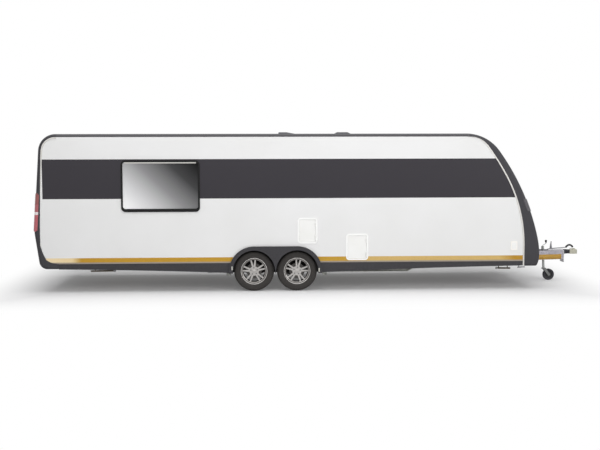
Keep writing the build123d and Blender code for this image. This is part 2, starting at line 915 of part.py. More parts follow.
with BuildPart() as fridge_grilles:
    for bottom in grille_bottoms:
        middle = (along(grille_rear_share) + grille_width / 2, bottom + grille_height / 2)
        with BuildSketch(Plane.XZ.offset(-half_width)) as grille_shape:
            with Locations(middle):
                RectangleRounded(grille_width, grille_height, inlet_corner_radius)
        extrude(amount=-grille_proud)
        with BuildSketch(Plane.XZ.offset(-half_width - grille_proud)) as slots:
            with Locations(middle):
                with GridLocations(0, grille_height / (grille_slot_count + 1), 1, grille_slot_count):
                    Rectangle(grille_width - 2 * grille_slot_height, grille_slot_height)
        extrude(amount=grille_proud / 2, mode=Mode.SUBTRACT)
save(fridge_grilles.part, "fridge_grilles")

# Entry door, its frame, window and handle
door_middle_z = (door_bottom + door_top) / 2
door_height = door_top - door_bottom
door_middle_x = (door_rear_x + door_front_x) / 2
door_axis = (door_front_x, half_width + door_hinge_proud)
door_window_z = door_top - door_window_top_gap - door_window_height / 2
door_hinge_heights = [door_bottom + share * door_height for share in door_hinge_shares]
with BuildPart() as entry_door:
    with BuildSketch(Plane.XZ.offset(-half_width + door_depth)) as door_shape:
        with Locations((door_middle_x, door_middle_z)):
            RectangleRounded(door_width, door_height, door_corner_radius)
        with Locations((door_middle_x, door_window_z)):
            RectangleRounded(
                door_window_width, door_window_height, door_corner_radius, mode=Mode.SUBTRACT
            )
    extrude(amount=-door_depth)
    for height in door_hinge_heights:
        with BuildSketch(Plane.XY.offset(height - door_hinge_length / 2)) as leaf:
            with BuildLine():
                Polyline(
                    (door_axis[0] - hinge_leaf_width, half_width),
                    (door_axis[0] - hinge_leaf_width, half_width + hinge_leaf_thickness),
                    (door_axis[0] - door_hinge_radius, half_width + hinge_leaf_thickness),
                    (door_axis[0] - door_hinge_radius, door_axis[1]),
                    (door_axis[0], door_axis[1]),
                    (door_axis[0], half_width),
                    close=True,
                )
            make_face()
            with Locations(door_axis):
                Circle(door_hinge_radius)
                Circle(door_hinge_radius / 2 + seat, mode=Mode.SUBTRACT)
        extrude(amount=door_hinge_length)
save(entry_door.part, "entry_door")

with BuildPart() as entry_door_pane:
    with BuildSketch(Plane.XZ.offset(-half_width + door_depth)) as door_pane_shape:
        with Locations((door_middle_x, door_window_z)):
            RectangleRounded(door_window_width, door_window_height, door_corner_radius)
    extrude(amount=-door_depth)
save(entry_door_pane.part, "entry_door_pane")

with BuildPart() as entry_door_handle:
    with Locations(
        (
            door_rear_x + door_handle_length / 2 + joint_gap,
            half_width + door_handle_proud / 2,
            door_handle_height,
        )
    ):
        Box(door_handle_length, door_handle_proud, door_handle_proud * 2)
        fillet(
            entry_door_handle.faces().sort_by(Axis.Y)[-1].edges(), door_handle_proud / 3
        )
save(entry_door_handle.part, "entry_door_handle")

with BuildPart() as door_frame:
    with BuildSketch(Plane.XZ.offset(-half_width)) as frame_shape:
        with Locations((door_middle_x, door_middle_z)):
            for grow, mode in ((joint_gap + door_frame_width, Mode.ADD), (joint_gap, Mode.SUBTRACT)):
                RectangleRounded(
                    door_width + 2 * grow,
                    door_height + 2 * grow,
                    door_corner_radius + grow,
                    mode=mode,
                )
    extrude(amount=-door_frame_proud)
    for height in door_hinge_heights:
        for step in (-1, 1):
            lug_middle = height + step * (door_hinge_length + hinge_lug_height) / 2
            lug_middle += step * hinge_lug_gap
            with BuildSketch(Plane.XY.offset(lug_middle - hinge_lug_height / 2)) as lug:
                with BuildLine():
                    Polyline(
                        (door_axis[0] + joint_gap, half_width + door_frame_proud),
                        (door_axis[0] + joint_gap + door_frame_width, half_width + door_frame_proud),
                        (door_axis[0] + joint_gap, door_axis[1] + door_hinge_radius),
                        (door_axis[0], door_axis[1] + door_hinge_radius),
                        (door_axis[0], door_axis[1]),
                        close=True,
                    )
                make_face()
                with Locations(door_axis):
                    Circle(door_hinge_radius)
            extrude(amount=hinge_lug_height)
        with BuildSketch(Plane.XY.offset(height - door_hinge_length / 2 - hinge_lug_gap)) as pin:
            with Locations(door_axis):
                Circle(door_hinge_radius / 2)
        extrude(amount=door_hinge_length + 2 * hinge_lug_gap)
save(door_frame.part, "door_frame")

# Service hatches on the right wall, each hinged at its front edge
with BuildPart() as hatch_frames:
    for name, rear, front, low, high in hatch_places:
        with BuildSketch(Plane.XZ.offset(half_width)) as hatch_ring:
            with Locations(((rear + front) / 2, (low + high) / 2)):
                RectangleRounded(front - rear, high - low, hatch_corner_radius + hatch_frame_width)
                RectangleRounded(
                    front - rear - 2 * hatch_frame_width,
                    high - low - 2 * hatch_frame_width,
                    hatch_corner_radius,
                    mode=Mode.SUBTRACT,
                )
        extrude(amount=hatch_frame_proud)
        hatch_axis = (front - hatch_frame_width - joint_gap, -half_width - hatch_hinge_proud)
        for share in hatch_hinge_shares:
            height = low + share * (high - low)
            for step in (-1, 1):
                lug_middle = height + step * (hatch_hinge_length + hinge_lug_height) / 2
                lug_middle += step * hinge_lug_gap
                with BuildSketch(Plane.XY.offset(lug_middle - hinge_lug_height / 2)) as lug:
                    with BuildLine():
                        Polyline(
                            (hatch_axis[0] + joint_gap, -half_width - hatch_frame_proud),
                            (front - hatch_frame_proud, -half_width - hatch_frame_proud),
                            (hatch_axis[0], hatch_axis[1] - hatch_hinge_radius),
                            (hatch_axis[0], hatch_axis[1]),
                            close=True,
                        )
                    make_face()
                    with Locations(hatch_axis):
                        Circle(hatch_hinge_radius)
                extrude(amount=hinge_lug_height)
            with BuildSketch(Plane.XY.offset(height - hatch_hinge_length / 2 - hinge_lug_gap)) as pin:
                with Locations(hatch_axis):
                    Circle(hatch_hinge_radius / 2)
            extrude(amount=hatch_hinge_length + 2 * hinge_lug_gap)
save(hatch_frames.part, "hatch_frames")

for name, rear, front, low, high in hatch_places:
    with BuildPart() as hatch:
        with BuildSketch(Plane.XZ.offset(half_width - hatch_depth)) as hatch_shape:
            with Locations(((rear + front) / 2, (low + high) / 2)):
                RectangleRounded(
                    front - rear - 2 * (hatch_frame_width + joint_gap),
                    high - low - 2 * (hatch_frame_width + joint_gap),
                    hatch_corner_radius - joint_gap,
                )
        extrude(amount=hatch_depth)
        hatch_axis = (front - hatch_frame_width - joint_gap, -half_width - hatch_hinge_proud)
        for share in hatch_hinge_shares:
            height = low + share * (high - low)
            with BuildSketch(Plane.XY.offset(height - hatch_hinge_length / 2)) as leaf:
                with Locations((hatch_axis[0] - hatch_hinge_radius, -half_width)):
                    Rectangle(
                        2 * hatch_hinge_radius,
                        hatch_hinge_proud,
                        align=(Align.CENTER, Align.MAX),
                    )
                with Locations(hatch_axis):
                    Circle(hatch_hinge_radius)
                    Circle(hatch_hinge_radius / 2 + seat, mode=Mode.SUBTRACT)
            extrude(amount=hatch_hinge_length)
        with BuildSketch(Plane.XZ.offset(half_width)) as lock:
            with Locations(
                (rear + hatch_frame_width + joint_gap + 2 * hatch_lock_radius, (low + high) / 2)
            ):
                Circle(hatch_lock_radius)
        extrude(amount=hatch_frame_proud)
    save(hatch.part, name)

# Galvanised chassis rails: channels that are deep round the axles
rail_length = rail_front_x - rail_rear_x
rail_points = [
    (rail_rear_x, floor_underside),
    (rail_front_x, floor_underside),
    (rail_front_x, rail_shallow_bottom),
    (rail_deep_front_x + rail_slope_length, rail_shallow_bottom),
    (rail_deep_front_x, rail_deep_bottom),
    (rail_deep_rear_x, rail_deep_bottom),
    (rail_deep_rear_x - rail_slope_length, rail_shallow_bottom),
    (rail_rear_x, rail_shallow_bottom),
]
axle_tube_z = wheel_radius + arm_drop
axle_tube_places = [x + arm_length for x in axle_places]
with BuildSketch(Plane.XZ) as rail_shape:
    with BuildLine():
        Polyline(*rail_points, close=True)
    make_face()
with BuildPart() as chassis_rails:
    for side in (-1, 1):
        web_plane = Plane.XZ.offset(-side * rail_y)
        with BuildSketch(web_plane):
            add(rail_shape.sketch_local)
        extrude(amount=-side * rail_flange)
        with BuildSketch(web_plane.offset(-side * rail_web)):
            add(rail_shape.sketch_local)
            offset(amount=-rail_web, kind=Kind.INTERSECTION, mode=Mode.REPLACE)
        extrude(amount=-side * rail_flange, mode=Mode.SUBTRACT)
        with BuildSketch(Plane.XZ) as rail_holes:
            hole_z = (floor_underside + rail_shallow_bottom) / 2
            with Locations(*[(rail_rear_x + share * rail_length, hole_z) for share in rail_hole_table]):
                Circle(rail_hole_radius)
            with Locations(*[(x, axle_tube_z) for x in axle_tube_places]):
                Circle(axle_tube_radius + seat)
        extrude(amount=-side * (rail_y + rail_flange), mode=Mode.SUBTRACT)
save(chassis_rails.part, "chassis_rails")

with BuildPart() as crossmembers:
    for share in cross_shares:
        with BuildSketch(Plane.XZ) as cross_shape:
            place = (rail_rear_x + share * rail_length, floor_underside)
            with Locations(place):
                Rectangle(cross_width, cross_depth, align=(Align.CENTER, Align.MAX))
            with Locations((place[0] + cross_wall, place[1] - cross_wall)):
                Rectangle(
                    cross_width,
                    cross_depth - 2 * cross_wall,
                    align=(Align.CENTER, Align.MAX),
                    mode=Mode.SUBTRACT,
                )
        extrude(amount=rail_y, both=True)
save(crossmembers.part, "crossmembers")

# Drawbar: two channels that bend in from the rails to the coupling plate


def leg_plan(inset):
    """Plan outline of the left drawbar leg, moved in towards the middle by inset."""
    with BuildSketch(Plane.XY.offset(leg_bottom)) as flat:
        with BuildLine():
            outer = [
                (rail_front_x - leg_lap, rail_y - inset),
                (rail_front_x, rail_y - inset),
                (leg_front_x, leg_front_y - inset),
            ]
            inner = [(x, y - leg_width) for x, y in reversed(outer)]
            Polyline(*outer, *inner, close=True)
        make_face()
    return flat.sketch


for side, name in ((-1, "drawbar_leg_right"), (1, "drawbar_leg_left")):
    with BuildPart() as drawbar_leg:
        extrude(leg_plan(0), amount=floor_underside - leg_bottom)
        hollow = extrude(
            leg_plan(leg_wall).moved(Location((0, 0, leg_wall))),
            amount=floor_underside - leg_bottom - 2 * leg_wall,
            mode=Mode.PRIVATE,
        )
        add(hollow, mode=Mode.SUBTRACT)
        if side < 0:
            mirror(about=Plane.XZ, mode=Mode.REPLACE)
    save(drawbar_leg.part, name)

# Coupling plate with the overrun housing behind it
shaft_rear_x = leg_front_x - housing_length * 0.8
with BuildPart() as drawbar_head:
    with BuildSketch(Plane.YZ.offset(leg_front_x)) as plate_shape:
        with Locations((0, (plate_bottom + floor_underside) / 2)):
            RectangleRounded(
                2 * plate_half_width, floor_underside - plate_bottom, plate_corner_radius
            )
    extrude(amount=plate_thickness)
    with BuildSketch(Plane.YZ.offset(leg_front_x)) as housing_shape:
        with Locations((0, (housing_bottom + housing_top) / 2)):
            RectangleRounded(
                2 * housing_half_width, housing_top - housing_bottom, plate_corner_radius
            )
    extrude(amount=-housing_length)
    extrude(housing_shape.sketch, amount=plate_thickness)
    with BuildSketch(Plane.YZ.offset(shaft_rear_x)) as shaft_bore:
        with Locations((0, shaft_height)):
            Circle(shaft_radius + seat)
    extrude(amount=housing_length, mode=Mode.SUBTRACT)
save(drawbar_head.part, "drawbar_head")

# Rubber bellows over the overrun shaft
bellows_rear_x = leg_front_x + plate_thickness
bellows_front_x = bellows_rear_x + bellows_length
with BuildPart() as drawbar_bellows:
    with BuildSketch(Plane.XZ) as bellows_shape:
        with BuildLine():
            fold = bellows_length / (2 * bellows_fold_count)
            crests = []
            for step in range(2 * bellows_fold_count + 1):
                taper = step / (2 * bellows_fold_count)
                radius = bellows_big_radius + taper * (bellows_small_radius - bellows_big_radius)
                if step % 2:
                    radius -= bellows_fold_depth
                crests.append((bellows_rear_x + step * fold, shaft_height + radius + shaft_clearance))
            Polyline(
                *crests,
                (bellows_front_x, shaft_height + shaft_radius + seat),
                (bellows_rear_x, shaft_height + shaft_radius + seat),
                close=True,
            )
        make_face()
    revolve(axis=Axis((0, 0, shaft_height), (1, 0, 0)))
save(drawbar_bellows.part, "drawbar_bellows")

# Coupling head with its shaft, hollow below for the tow ball
ball_x = coupling_tip_x - coupling_ball_back
ball_z = shaft_height - coupling_height / 2 + coupling_lip
coupling_top = shaft_height + coupling_height / 2
with BuildPart() as coupling_head:
    with BuildSketch(Plane.XY.offset(shaft_height - coupling_height / 2)) as head_shape:
        with Locations((ball_x, 0)):
            Circle(coupling_ball_back)
        with BuildLine():
            Polyline(
                (ball_x, coupling_ball_back),
                (bellows_front_x, coupling_width / 2),
                (bellows_front_x, -coupling_width / 2),
                (ball_x, -coupling_ball_back),
                close=True,
            )
        make_face()
    extrude(amount=coupling_height)
    fillet(coupling_head.faces().sort_by(Axis.Z)[-1].edges(), coupling_edge_radius)
    with BuildSketch(Plane.YZ.offset(shaft_rear_x)) as shaft_shape:
        with Locations((0, shaft_height)):
            Circle(shaft_radius)
    extrude(amount=bellows_front_x - shaft_rear_x)
    with Locations((ball_x, 0, ball_z)):
        Sphere(coupling_ball_radius + seat, mode=Mode.SUBTRACT)
        Cylinder(
            coupling_ball_radius + seat,
            coupling_height,
            align=(Align.CENTER, Align.CENTER, Align.MAX),
            mode=Mode.SUBTRACT,
        )
save(coupling_head.part, "coupling_head")

# Low hand lever that lies back over the coupling head
handle_top = coupling_top + coupling_handle_rise
with BuildPart() as coupling_handle:
    with BuildSketch(Plane.XZ) as handle_shape:
        with BuildLine():
            Polyline(
                (ball_x + coupling_handle_foot / 2, coupling_top),
                (ball_x + coupling_handle_foot / 2, handle_top - coupling_handle_bar),
                (ball_x, handle_top),
                (ball_x + coupling_handle_foot / 2 - coupling_handle_length, handle_top),
                (
                    ball_x + coupling_handle_foot / 2 - coupling_handle_length,
                    handle_top - coupling_handle_bar,
                ),
                (ball_x - coupling_handle_foot, handle_top - coupling_handle_bar),
                (ball_x - coupling_handle_foot / 2, coupling_top),
                close=True,
            )
        make_face()
    extrude(amount=coupling_handle_width / 2, both=True)
    fillet(
        coupling_handle.edges().filter_by_position(
            Axis.Z, handle_top - coupling_handle_bar, handle_top
        ).filter_by(Axis.Y),
        coupling_handle_bar / 3,
    )
save(coupling_handle.part, "coupling_handle")

# Handbrake lever on the housing: bracket with its pawl post, long bar and bowed grip
lever_x = leg_front_x - lever_back
lever_foot_top = housing_top + lever_foot_height
grip_rear = (lever_x + lever_reach, housing_top + lever_grip_rise)
grip_crest = (grip_rear[0] + lever_grip_length / 2, housing_top + lever_grip_crest)
grip_front = (grip_rear[0] + lever_grip_length, grip_crest[1] - lever_grip_droop)
with BuildPart() as handbrake_lever:
    with Locations((lever_x, 0, housing_top)):
        Box(
            lever_foot_length,
            lever_foot_width,
            lever_foot_height,
            align=(Align.CENTER, Align.CENTER, Align.MIN),
        )
    with BuildSketch(Plane.XZ) as post_shape:
        with BuildLine():
            Polyline(
                (lever_x - lever_post_width / 2, lever_foot_top),
                (lever_x + lever_post_width / 2, lever_foot_top),
                (lever_x + lever_post_tip, housing_top + lever_post_height * 2 / 3),
                (lever_x + lever_post_tip, housing_top + lever_post_height),
                (lever_x, housing_top + lever_post_height),
                (lever_x - lever_post_tip, housing_top + lever_post_height / 2),
                close=True,
            )
        make_face()
    extrude(amount=lever_post_thickness / 2, both=True)
    with BuildLine(Plane.XZ) as bar_path:
        Line((lever_x, lever_foot_top), grip_rear)
    with BuildSketch(bar_path.line ^ 0) as bar_section:
        Circle(lever_bar_radius)
    sweep()
    with BuildLine(Plane.XZ) as grip_path:
        ThreePointArc(grip_rear, grip_crest, grip_front)
    with BuildSketch(grip_path.line ^ 0) as grip_section:
        Circle(lever_grip_radius)
    sweep()
    fillet(handbrake_lever.faces().sort_by(Axis.X)[-1].edges(), lever_grip_radius / 2)
save(handbrake_lever.part, "handbrake_lever")

# Torsion axle tubes, with a trailing arm and stub for each wheel
with BuildPart() as axle_tubes:
    for x in axle_tube_places:
        with BuildSketch(Plane.XZ) as tube_shape:
            with Locations((x, axle_tube_z)):
                Circle(axle_tube_radius)
        extrude(amount=axle_track_end, both=True)
save(axle_tubes.part, "axle_tubes")

drum_outer_y = wheel_outer_y - hub_face_depth - spoke_depth
drum_inner_y = drum_outer_y - drum_depth
stub_end_y = drum_outer_y - drum_wall
with BuildPart() as trailing_arms:
    for x in axle_places:
        for side in (-1, 1):
            arm_angle = degrees(atan2(arm_drop, arm_length))
            with BuildSketch(Plane.XZ.offset(-side * axle_track_end)) as arm_shape:
                with Locations((x + arm_length / 2, wheel_radius + arm_drop / 2)):
                    SlotCenterToCenter(hypot(arm_length, arm_drop), arm_height, rotation=arm_angle)
            extrude(amount=-side * arm_width)
            with BuildSketch(Plane.XZ.offset(-side * axle_track_end)) as stub_shape:
                with Locations((x, wheel_radius)):
                    Circle(stub_radius)
            extrude(amount=-side * (stub_end_y - axle_track_end))
save(trailing_arms.part, "trailing_arms")

# Wheels: tyre, and alloy rim bolted up with its brake drum, each on its own axle
rim_half = rim_width / 2
well_half = rim_well_width / 2
rim_outside = [  # radius, place across the rim, from the lip to the well
    (rim_radius, rim_half),
    (rim_radius, rim_half - rim_edge),
    (bead_radius, rim_half - rim_edge - bead_slope),
    (bead_radius, well_half + rim_well_slope),
    (rim_well_radius, well_half),
]
rim_inside = [
    (rim_radius - rim_wall, rim_half),
    (bead_radius - rim_wall, rim_half - rim_edge - bead_slope),
    (bead_radius - rim_wall, well_half + rim_well_slope),
    (rim_well_radius - rim_wall, well_half),
]
tyre_height = wheel_radius - bead_radius
tyre_half = tyre_width / 2
tyre_side = [
    (bead_radius + seat, rim_half - 2 * rim_edge - bead_slope),
    (rim_radius + rim_edge / 2, rim_half - rim_edge - seat),
]
tyre_side += [
    (bead_radius + up * tyre_height, out * tyre_half) for up, out in tyre_shoulder_shares
]


def both_sides(points):
    """Half outline followed by its mirror image, from one lip to the other."""
    return points + [(radius, -across) for radius, across in reversed(points)]


wheel_table = [  # name, side, axle place, turn of the spokes
    ("rear_right", -1, rear_axle_x, 0),
    ("rear_left", 1, rear_axle_x, 0),
    ("front_right", -1, front_axle_x, front_wheel_turn),
    ("front_left", 1, front_axle_x, front_wheel_turn),
]
for wheel, side, axle_x, turn in wheel_table:
    centre = (axle_x, side * wheel_y, wheel_radius)
    profile_plane = Plane(origin=centre, x_dir=(1, 0, 0), z_dir=(0, 0, side))
    wheel_axis = Axis(centre, (0, 1, 0))
    with BuildPart() as tyre:
        with BuildSketch(profile_plane) as tyre_shape:
            with BuildLine():
                Polyline(*both_sides(tyre_side), close=True)
            make_face()
        revolve(axis=wheel_axis)
    save(tyre.part, f"tyre_{wheel}")

    disc_plane = Plane(
        origin=(axle_x, side * drum_outer_y, wheel_radius),
        x_dir=(-side, 0, 0),
        z_dir=(0, side, 0),
    )
    with BuildPart() as rim:
        with BuildSketch(profile_plane) as rim_shape:
            with BuildLine():
                Polyline(*both_sides(rim_outside), *reversed(both_sides(rim_inside)), close=True)
            make_face()
        revolve(axis=wheel_axis)
        with BuildSketch(disc_plane) as disc_shape:
            Circle(hub_radius)
            for spoke in range(spoke_count):
                for step in (-1, 1):
                    spoke_angle = spoke_first_angle + turn + step * spoke_split_angle
                    spoke_angle += spoke * 360 / spoke_count
                    Polygon(
                        (0, spoke_root_width / 2),
                        (0, -spoke_root_width / 2),
                        (bead_radius - rim_wall, -spoke_tip_width / 2),
                        (bead_radius - rim_wall, spoke_tip_width / 2),
                        rotation=spoke_angle,
                        align=None,
                    )
        extrude(amount=spoke_depth)
        with BuildSketch(disc_plane.offset(spoke_depth)) as cap_shape:
            Circle(hub_cap_radius)
        extrude(amount=hub_cap_proud)
        with BuildSketch(disc_plane.offset(spoke_depth)) as lug_holes:
            with PolarLocations(lug_circle_radius, spoke_count, spoke_first_angle + turn):
                Circle(lug_hole_radius)
        extrude(amount=-lug_hole_depth, mode=Mode.SUBTRACT)
        with BuildSketch(profile_plane) as drum_shape:
            drum_out = drum_outer_y - wheel_y
            drum_in = drum_inner_y - wheel_y
            with BuildLine():
                Polyline(
                    (stub_radius + seat, drum_in),
                    (drum_hub_radius, drum_in),
                    (drum_hub_radius, drum_out - drum_wall),
                    (drum_radius - drum_wall, drum_out - drum_wall),
                    (drum_radius - drum_wall, drum_in),
                    (drum_radius, drum_in),
                    (drum_radius, drum_out),
                    (0, drum_out),
                    (0, stub_end_y + seat - wheel_y),
                    (stub_radius + seat, stub_end_y + seat - wheel_y),
                    close=True,
                )
            make_face()
        revolve(axis=wheel_axis)
    save(rim.part, f"rim_{wheel}")

# Jockey wheel on its leaning column, clamped between the drawbar legs
jockey_plane = Plane(
    origin=(jockey_ground_x, 0, 0),
    x_dir=(cos(radians(jockey_lean)), 0, sin(radians(jockey_lean))),
    z_dir=(-sin(radians(jockey_lean)), 0, cos(radians(jockey_lean))),
)
jockey_side = Plane(
    origin=(jockey_ground_x, 0, 0),
    x_dir=jockey_plane.x_dir,
    z_dir=(0, -1, 0),
)
jockey_wheel_centre = jockey_plane.to_local_coords(
    Vector(jockey_ground_x + jockey_trail, 0, jockey_wheel_radius)
)
tube_bottom = jockey_tube_top - jockey_tube_length
with BuildPart() as jockey_tube:
    with BuildSketch(jockey_plane.offset(tube_bottom)):
        Circle(jockey_tube_radius)
        Circle(jockey_bore_radius, mode=Mode.SUBTRACT)
    extrude(amount=jockey_tube_length - jockey_cap_thickness)
    with BuildSketch(jockey_plane.offset(jockey_tube_top - jockey_cap_thickness)):
        Circle(jockey_tube_radius)
    extrude(amount=jockey_cap_thickness)
save(jockey_tube.part, "jockey_tube")

with BuildPart() as jockey_crank:
    with BuildLine(jockey_side) as crank_path:
        FilletPolyline(
            (0, jockey_tube_top),
            (0, jockey_tube_top + jockey_crank_neck),
            (jockey_crank_reach, jockey_tube_top + jockey_knob_foot - jockey_crank_neck),
            (jockey_crank_reach, jockey_tube_top + jockey_knob_foot),
            radius=jockey_crank_bend,
        )
    with BuildSketch(crank_path.line ^ 0) as crank_section:
        Circle(jockey_crank_radius)
    sweep()
    for height, radius in (
        (jockey_knob_foot, jockey_knob_foot_radius),
        (jockey_knob_top, jockey_knob_radius),
    ):
        with BuildSketch(jockey_plane.offset(jockey_tube_top + height)):
            with Locations((jockey_crank_reach, 0)):
                Circle(radius)
    loft()
save(jockey_crank.part, "jockey_crank")

with BuildPart() as jockey_clamp:
    clamp_top = jockey_tube_top - jockey_clamp_drop
    clamp_half_width = leg_front_y + (leg_front_x - jockey_ground_x) * leg_bend_slope - leg_wall / 2
    with BuildSketch(jockey_plane.offset(clamp_top - jockey_clamp_height)):
        Circle(jockey_tube_radius + seat + jockey_clamp_wall)
        Rectangle(2 * jockey_tube_radius, 2 * clamp_half_width)
        Circle(jockey_tube_radius + seat, mode=Mode.SUBTRACT)
    extrude(amount=jockey_clamp_height)
    for step in (-1, 1):
        leg_solid = extrude(leg_plan(0), amount=floor_underside - leg_bottom, mode=Mode.PRIVATE)
        channel_solid = extrude(
            leg_plan(leg_wall), amount=floor_underside - leg_bottom, mode=Mode.PRIVATE
        )
        leg_web = leg_solid - channel_solid
        if step < 0:
            leg_web = leg_web.mirror(Plane.XZ)
        add(leg_web, mode=Mode.SUBTRACT)
save(jockey_clamp.part, "jockey_clamp")

with BuildPart() as jockey_stem:
    with BuildSketch(jockey_plane.offset(jockey_stem_bottom)):
        Circle(jockey_bore_radius - seat)
    extrude(amount=jockey_stem_top - jockey_stem_bottom)
    with BuildSketch(jockey_plane.offset(jockey_stem_bottom)):
        Circle(jockey_swivel_radius + seat)
    extrude(amount=jockey_swivel_length + seat, mode=Mode.SUBTRACT)
save(jockey_stem.part, "jockey_stem")

fork_inner = jockey_wheel_width / 2 + jockey_fork_gap
fork_outer = fork_inner + jockey_fork_wall
crown_top = jockey_stem_bottom - seat
crown_middle = crown_top - jockey_crown_height / 2
with BuildPart() as jockey_fork:
    with BuildSketch(jockey_plane.offset(crown_top)):
        Rectangle(jockey_crown_length, 2 * fork_outer)
    extrude(amount=-jockey_crown_height)
    with BuildSketch(jockey_plane.offset(crown_top)):
        Circle(jockey_swivel_radius)
    extrude(amount=jockey_swivel_length)
    for step in (-1, 1):
        with BuildSketch(jockey_side.offset(step * fork_inner)):
            with BuildLine():
                Polyline(
                    (-jockey_crown_length / 2, crown_top),
                    (jockey_crown_length / 2, crown_top),
                    (jockey_wheel_centre.X + jockey_fork_width / 2, jockey_wheel_centre.Z),
                    (jockey_wheel_centre.X - jockey_fork_width / 2, jockey_wheel_centre.Z),
                    close=True,
                )
            make_face()
            with Locations((jockey_wheel_centre.X, jockey_wheel_centre.Z)):
                Circle(jockey_fork_width / 2)
        extrude(amount=step * jockey_fork_wall)
    with BuildSketch(jockey_side):
        with Locations((jockey_wheel_centre.X, jockey_wheel_centre.Z)):
            Circle(jockey_pin_radius)
    extrude(amount=fork_outer, both=True)
save(jockey_fork.part, "jockey_fork")

jockey_profile = Plane(
    origin=(jockey_ground_x + jockey_trail, 0, jockey_wheel_radius), x_dir=(1, 0, 0), z_dir=(0, 0, 1)
)
jockey_axis = Axis(jockey_profile.origin, (0, 1, 0))
jockey_half = jockey_wheel_width / 2
with BuildPart() as jockey_tyre:
    with BuildSketch(jockey_profile):
        with BuildLine():
            Polyline(
                (jockey_hub_radius, -jockey_half * 0.8),
                (jockey_wheel_radius * 0.9, -jockey_half),
                (jockey_wheel_radius, -jockey_half * 0.6),
                (jockey_wheel_radius, jockey_half * 0.6),
                (jockey_wheel_radius * 0.9, jockey_half),
                (jockey_hub_radius, jockey_half * 0.8),
                close=True,
            )
        make_face()
    revolve(axis=jockey_axis)
save(jockey_tyre.part, "jockey_tyre")

with BuildPart() as jockey_hub:
    with BuildSketch(jockey_profile):
        with BuildLine():
            Polyline(
                (jockey_pin_radius + seat, -jockey_half),
                (jockey_hub_radius * 0.4, -jockey_half),
                (jockey_hub_radius * 0.5, -jockey_half * 0.3),
                (jockey_hub_radius * 0.85, -jockey_half * 0.3),
                (jockey_hub_radius, -jockey_half * 0.8),
                (jockey_hub_radius, jockey_half * 0.8),
                (jockey_hub_radius * 0.85, jockey_half * 0.3),
                (jockey_hub_radius * 0.5, jockey_half * 0.3),
                (jockey_hub_radius * 0.4, jockey_half),
                (jockey_pin_radius + seat, jockey_half),
                close=True,
            )
        make_face()
    revolve(axis=jockey_axis)
save(jockey_hub.part, "jockey_hub")

# Corner steadies, folded up under the floor
steady_table = [  # name, pivot place, direction of the arm along X, side
    ("steady_rear_right", steady_rear_x, -1, -1),
    ("steady_rear_left", steady_rear_x, -1, 1),
    ("steady_front_right", steady_front_x, 1, -1),
    ("steady_front_left", steady_front_x, 1, 1),
]
steady_y = rail_y + steady_side_gap
steady_z = floor_underside - steady_drop
for name, pivot_x, way, side in steady_table:
    with BuildPart() as steady:
        with BuildSketch(Plane.XZ.offset(-side * steady_y)) as arm_shape:
            with Locations((pivot_x + way * steady_length / 2, steady_z)):
                SlotCenterToCenter(steady_length, steady_width)
        extrude(amount=steady_width / 2, both=True)
        with BuildSketch(Plane.XZ.offset(-side * steady_y)) as pivot_hole:
            with Locations((pivot_x, steady_z)):
                Circle(steady_pin_radius + seat)
        extrude(amount=steady_width, both=True, mode=Mode.SUBTRACT)
        with BuildSketch(Plane.XZ.offset(-side * steady_y)) as foot_shape:
            with Locations((pivot_x + way * (steady_length + steady_foot_offset), steady_z)):
                Rectangle(steady_foot_thickness, steady_foot_length, rotation=-way * (90 - steady_foot_angle))
        extrude(amount=steady_foot_width / 2, both=True)
    save(steady.part, name)

with BuildPart() as steady_brackets:
    for name, pivot_x, way, side in steady_table:
        for step in (-1, 1):
            with BuildSketch(
                Plane.XZ.offset(-side * steady_y + step * (steady_width / 2 + steady_gap))
            ) as cheek:
                with Locations((pivot_x, steady_z)):
                    Circle(steady_width / 2)
                    Rectangle(steady_width, steady_drop, align=(Align.CENTER, Align.MIN))
            extrude(amount=step * steady_bracket_wall)
        with BuildSketch(Plane.XZ.offset(-side * steady_y)) as pin:
            with Locations((pivot_x, steady_z)):
                Circle(steady_pin_radius)
        extrude(amount=steady_width / 2 + steady_gap, both=True)
save(steady_brackets.part, "steady_brackets")
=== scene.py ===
import math
import bmesh
import bpy
import numpy as np
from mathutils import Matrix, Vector


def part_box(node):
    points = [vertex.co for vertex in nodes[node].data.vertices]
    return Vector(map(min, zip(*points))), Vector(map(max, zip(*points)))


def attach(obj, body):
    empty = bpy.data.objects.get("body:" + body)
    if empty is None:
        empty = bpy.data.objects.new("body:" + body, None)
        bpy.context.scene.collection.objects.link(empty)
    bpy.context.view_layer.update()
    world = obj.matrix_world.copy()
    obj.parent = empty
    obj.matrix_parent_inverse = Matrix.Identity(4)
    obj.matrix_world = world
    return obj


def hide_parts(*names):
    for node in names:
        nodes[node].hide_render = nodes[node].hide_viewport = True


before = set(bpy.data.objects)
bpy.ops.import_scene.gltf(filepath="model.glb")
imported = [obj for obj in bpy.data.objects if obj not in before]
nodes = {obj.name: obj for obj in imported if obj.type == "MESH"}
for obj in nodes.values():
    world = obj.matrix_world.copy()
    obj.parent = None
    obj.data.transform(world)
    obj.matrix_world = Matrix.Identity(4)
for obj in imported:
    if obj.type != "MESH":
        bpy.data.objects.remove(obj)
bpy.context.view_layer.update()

# Camera: 16.7 m off the right side at 2.24 m, turned slightly to the nose and down.
camera_place = (-0.989, -16.74, 2.237)
camera_angles = (90 - 4.24, 0.13, -2.44)
camera = bpy.data.objects.new("camera", bpy.data.cameras.new("camera"))
camera.data.lens = 57.9
camera.data.sensor_width = 36
camera.data.clip_end = 400
camera.location = camera_place
camera.rotation_euler = [math.radians(angle) for angle in camera_angles]
bpy.context.scene.collection.objects.link(camera)
bpy.context.scene.camera = camera
bpy.context.scene.view_settings.view_transform = "Standard"

